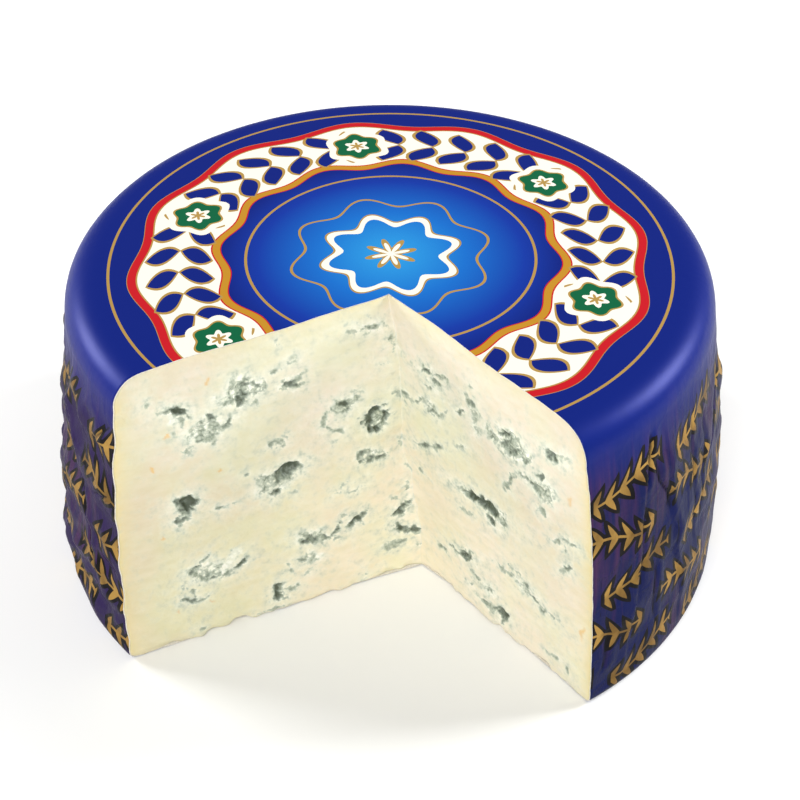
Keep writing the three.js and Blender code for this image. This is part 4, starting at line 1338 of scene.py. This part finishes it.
narrowed = add(tree, "Math", [off_stem, SPRIG["leaf_taper"]], operation="MULTIPLY")
past_leaf = add(tree, "Math", [narrowed, off_stem, in_leaf], operation="MULTIPLY_ADD")
past_stem = add(tree, "Math", [off_stem, SPRIG["half_stem"]], operation="SUBTRACT")
past_both = add(tree, "Math", [past_leaf, past_stem], operation="MINIMUM")
past_end = add(tree, "Math", [add(tree, "Math", [in_unit], operation="ABSOLUTE"), SPRIG["half_length"]],
               operation="SUBTRACT")
past_sprig = add(tree, "Math", [past_both, past_end], operation="MAXIMUM")
sprig_place = add(tree, "Math", [past_sprig, 0.1, 0.5], operation="MULTIPLY_ADD")
sprig = add(tree, "ValToRGB", [sprig_place], sharp=True,
            stops=[[0.0, GOLD], [0.5, "#120D10"], [0.63, NAVY, 0.0]])
whole_row = add(tree, "Math", [row, SPRIG["rows"] - 0.5], operation="LESS_THAN")
sprig_mask = add(tree, "Math", [sprig.outputs["Alpha"], whole_row], operation="MULTIPLY")
worn = add(tree, "TexNoise", {"Vector": place, "Scale": scale_for(11), "Detail": 3})
worn_gold = add(tree, "ValToRGB", [worn], stops=[[0.38, "#6E5A40"], [0.6, "#F2EADC"]])
sprigs = add(tree, "Mix", [0.7, sprig, worn_gold], data_type="RGBA", blend_type="MULTIPLY")
print("with the sprigs:", len(tree.nodes), "nodes")

# %% [markdown]
# Round the side the blue is painted darker, as painted shade, and a painted reflection of warm
# surroundings turns it a dull violet in streaks and patches, most of all near the left-hand cut. Where a
# fold is sharpest the bottom of its groove is painted near black, as painted shade.

# %% Blue of the foil
STREAK_WIDTH = 2.4
STREAK_LENGTH = 36.0
REFLECTION_AREA = 42.0

side_share = add(tree, "MapRange", [height, 88 * METRES, 70 * METRES])
streaks = add(tree, "Mapping", {"Vector": sheet,
                                "Scale": (scale_for(STREAK_WIDTH), scale_for(STREAK_LENGTH), 1)})
# These streaks serve both the relief of the side and its painted reflection.
relief_and_reflection_streaks = add(tree, "TexNoise", {"Vector": streaks, "Scale": 1, "Detail": 4})
areas = add(tree, "TexNoise", {"Vector": sheet, "Scale": scale_for(REFLECTION_AREA), "Detail": 1})
# Painted reflection: warm surroundings reflected in the side, painted as a dull violet in streaks and
# patches, strongest near the left-hand cut.
reflection_patches = add(tree, "MapRange", [add(tree, "Math", [relief_and_reflection_streaks, areas], operation="ADD"), 1, 1.35])
reflection_near_left_cut = add(tree, "MapRange", [round_mm, 785, 830, 0, 0.45])
painted_reflection = add(tree, "Math", [reflection_patches, reflection_near_left_cut], operation="ADD", use_clamp=True)
# Painted shade: round the side the blue is darker than on the top.
side_blue = add(tree, "Mix", [painted_reflection, paint("#0C174C"), paint("#44284F")], data_type="RGBA")
colour = add(tree, "Mix", [side_share, glow, side_blue], data_type="RGBA")
print("with the blue:", len(tree.nodes), "nodes")

# %% Lay the print's colours over each other
on_top = add(tree, "Math", [height, 86 * METRES], operation="GREATER_THAN")
for layer, mask in ((rings, rings.outputs["Alpha"]), (rosette, rosette.outputs["Alpha"]), (band, band_mask),
                    (leaves, leaf_mask), (flowers, flowers.outputs["Alpha"])):
    shown = add(tree, "Math", [mask, on_top], operation="MULTIPLY")
    colour = add(tree, "Mix", [shown, colour, layer], data_type="RGBA")
colour = add(tree, "Mix", [sprig_mask, colour, sprigs], data_type="RGBA")
# Painted shade: the bottoms of the sharpest grooves are painted near black.
groove_shade = add(tree, "Attribute", attribute_name="gaps_and_groove_shade").outputs["Fac"]
groove_shade_amount = add(tree, "MapRange", [groove_shade, 0.2, 0.6, 0, 0.9])
colour = add(tree, "Mix", [groove_shade_amount, colour, paint("#080913")], data_type="RGBA")
print("all colours of the foil:", len(tree.nodes), "nodes")

# %% Finish of the foil
CRINKLE = 3.8
FACET = 8.0

metal = add(tree, "MapRange", {"Value": side_share, "To Min": 0.1, "To Max": 0.4})
crinkle = add(tree, "TexNoise", {"Vector": place, "Scale": scale_for(CRINKLE), "Detail": 3})
facets = add(tree, "TexVoronoi", {"Vector": place, "Scale": scale_for(FACET)}, feature="DISTANCE_TO_EDGE")
ridges = add(tree, "MapRange", [facets, 0, 0.12, 1, 0])
drawn_ridges = add(tree, "Math", [ridges, 0.3, relief_and_reflection_streaks], operation="MULTIPLY_ADD")
side_relief = add(tree, "Math", [drawn_ridges, side_share], operation="MULTIPLY")
half_crinkle = add(tree, "Math", [crinkle, 0.5], operation="MULTIPLY")
relief = add(tree, "Math", [side_relief, 2.5, half_crinkle], operation="MULTIPLY_ADD")
bump = add(tree, "Bump", {"Height": relief, "Strength": 0.4, "Distance": 0.5 * METRES})
lacquer = add(tree, "BsdfPrincipled", {
    "Base Color": colour, "Metallic": metal, "Roughness": 0.38, "Specular IOR Level": 0.02,
    "Specular Tint": paint("#383048"), "Coat Weight": 0.22, "Coat Roughness": 0.37, "Normal": bump})
add(tree, "OutputMaterial", {"Surface": lacquer})
foil.data.materials.append(foil_material)
print("foil material:", len(tree.nodes), "nodes")

# %% [markdown]
# The inside of the sheet is bare aluminium backed with thin white paper, as cheese wraps are. Only its
# cut edge shows, as a fine pale line.

# %% Material of the foil's inside
PAPER_FIBRE = 0.7

backing_material, tree = new_material("paper_backed_foil_inside")
place = add(tree, "TexCoord").outputs["Object"]
fibre = add(tree, "TexNoise", {"Vector": place, "Scale": scale_for(PAPER_FIBRE), "Detail": 2})
paper = add(tree, "ValToRGB", [fibre], stops=[[0.3, "#CFC9BC"], [0.7, "#E6E1D4"]])
backing = add(tree, "BsdfPrincipled", {"Base Color": paper, "Roughness": 0.6})
add(tree, "OutputMaterial", {"Surface": backing})
foil.data.materials.append(backing_material)
print("backing material:", len(tree.nodes), "nodes")

# %% [markdown]
# ## Floor, light and camera
#
# A plain pale floor and soft boxes, as in a packshot. The box on the right and the one behind on the
# left draw the pale band along the shoulder. The camera stands where the photograph was taken from, by
# a fit of the wheel's outline and of the cut's edges.

# %% Floor
FLOOR_HALF = 3.0
FLOOR_DROP = 0.0002
floor_mesh = bpy.data.meshes.new("studio_floor")
floor_mesh.from_pydata([(FLOOR_HALF * x, FLOOR_HALF * y, -FLOOR_DROP)
                        for x, y in ((-1, -1), (1, -1), (1, 1), (-1, 1))], [], [(0, 1, 2, 3)])
floor = bpy.data.objects.new("studio_floor", floor_mesh)
bpy.context.scene.collection.objects.link(floor)
floor_material, tree = new_material("matt_white_board")
board = add(tree, "BsdfPrincipled", {"Base Color": paint("#FAFAF9"), "Roughness": 0.9})
add(tree, "OutputMaterial", {"Surface": board})
floor_mesh.materials.append(floor_material)
print("floor:", 2 * FLOOR_HALF, "m square")

# %% Lights
AIM = Vector((0.0, 0.0, 0.045))
AIR_STRENGTH = 0.24


def soft_box(name, towards, distance, size, power):
    """A square area light, `distance` metres from the wheel in the direction `towards`, aimed at it."""
    lamp = bpy.data.lights.new(name, "AREA")
    lamp.size = size
    lamp.energy = power
    holder = bpy.data.objects.new(name, lamp)
    direction = Vector(towards).normalized()
    holder.location = AIM + direction * distance
    holder.rotation_euler = direction.to_track_quat("Z", "Y").to_euler()
    bpy.context.scene.collection.objects.link(holder)
    return holder


soft_box("right_box", towards=(0.755, -0.369, 0.46), distance=0.95, size=0.32, power=8.5)
soft_box("back_left_box", towards=(-0.434, 0.836, 0.36), distance=0.95, size=0.32, power=7.0)
soft_box("front_box", towards=(-0.80, -0.60, 0.70), distance=2.6, size=1.9, power=55.0)
world = bpy.data.worlds.new("studio_air")
world.use_nodes = True
air = world.node_tree.nodes["Background"]
air.inputs["Color"].default_value = paint("#FFFFFF")
air.inputs["Strength"].default_value = AIR_STRENGTH
bpy.context.scene.world = world
bpy.context.scene.view_settings.view_transform = "Standard"
print("three soft boxes")

# %% Camera
CAMERA_PLACE = Vector((-0.2570, -0.3052, 0.3705))
CAMERA_BACK = Vector((-0.5005, -0.5864, 0.6369))
CAMERA_UP = Vector((0.4096, 0.4877, 0.7709))
LENS = 81.0
SENSOR = 36.0

camera_data = bpy.data.cameras.new("photo_camera")
camera_data.lens = LENS
camera_data.sensor_width = SENSOR
camera = bpy.data.objects.new("photo_camera", camera_data)
back = CAMERA_BACK.normalized()
right = CAMERA_UP.cross(back).normalized()
upward = back.cross(right)
camera.matrix_world = Matrix.Translation(CAMERA_PLACE) @ Matrix((right, upward, back)).transposed().to_4x4()
bpy.context.scene.collection.objects.link(camera)
bpy.context.scene.camera = camera
print("camera at", [round(v, 3) for v in CAMERA_PLACE])
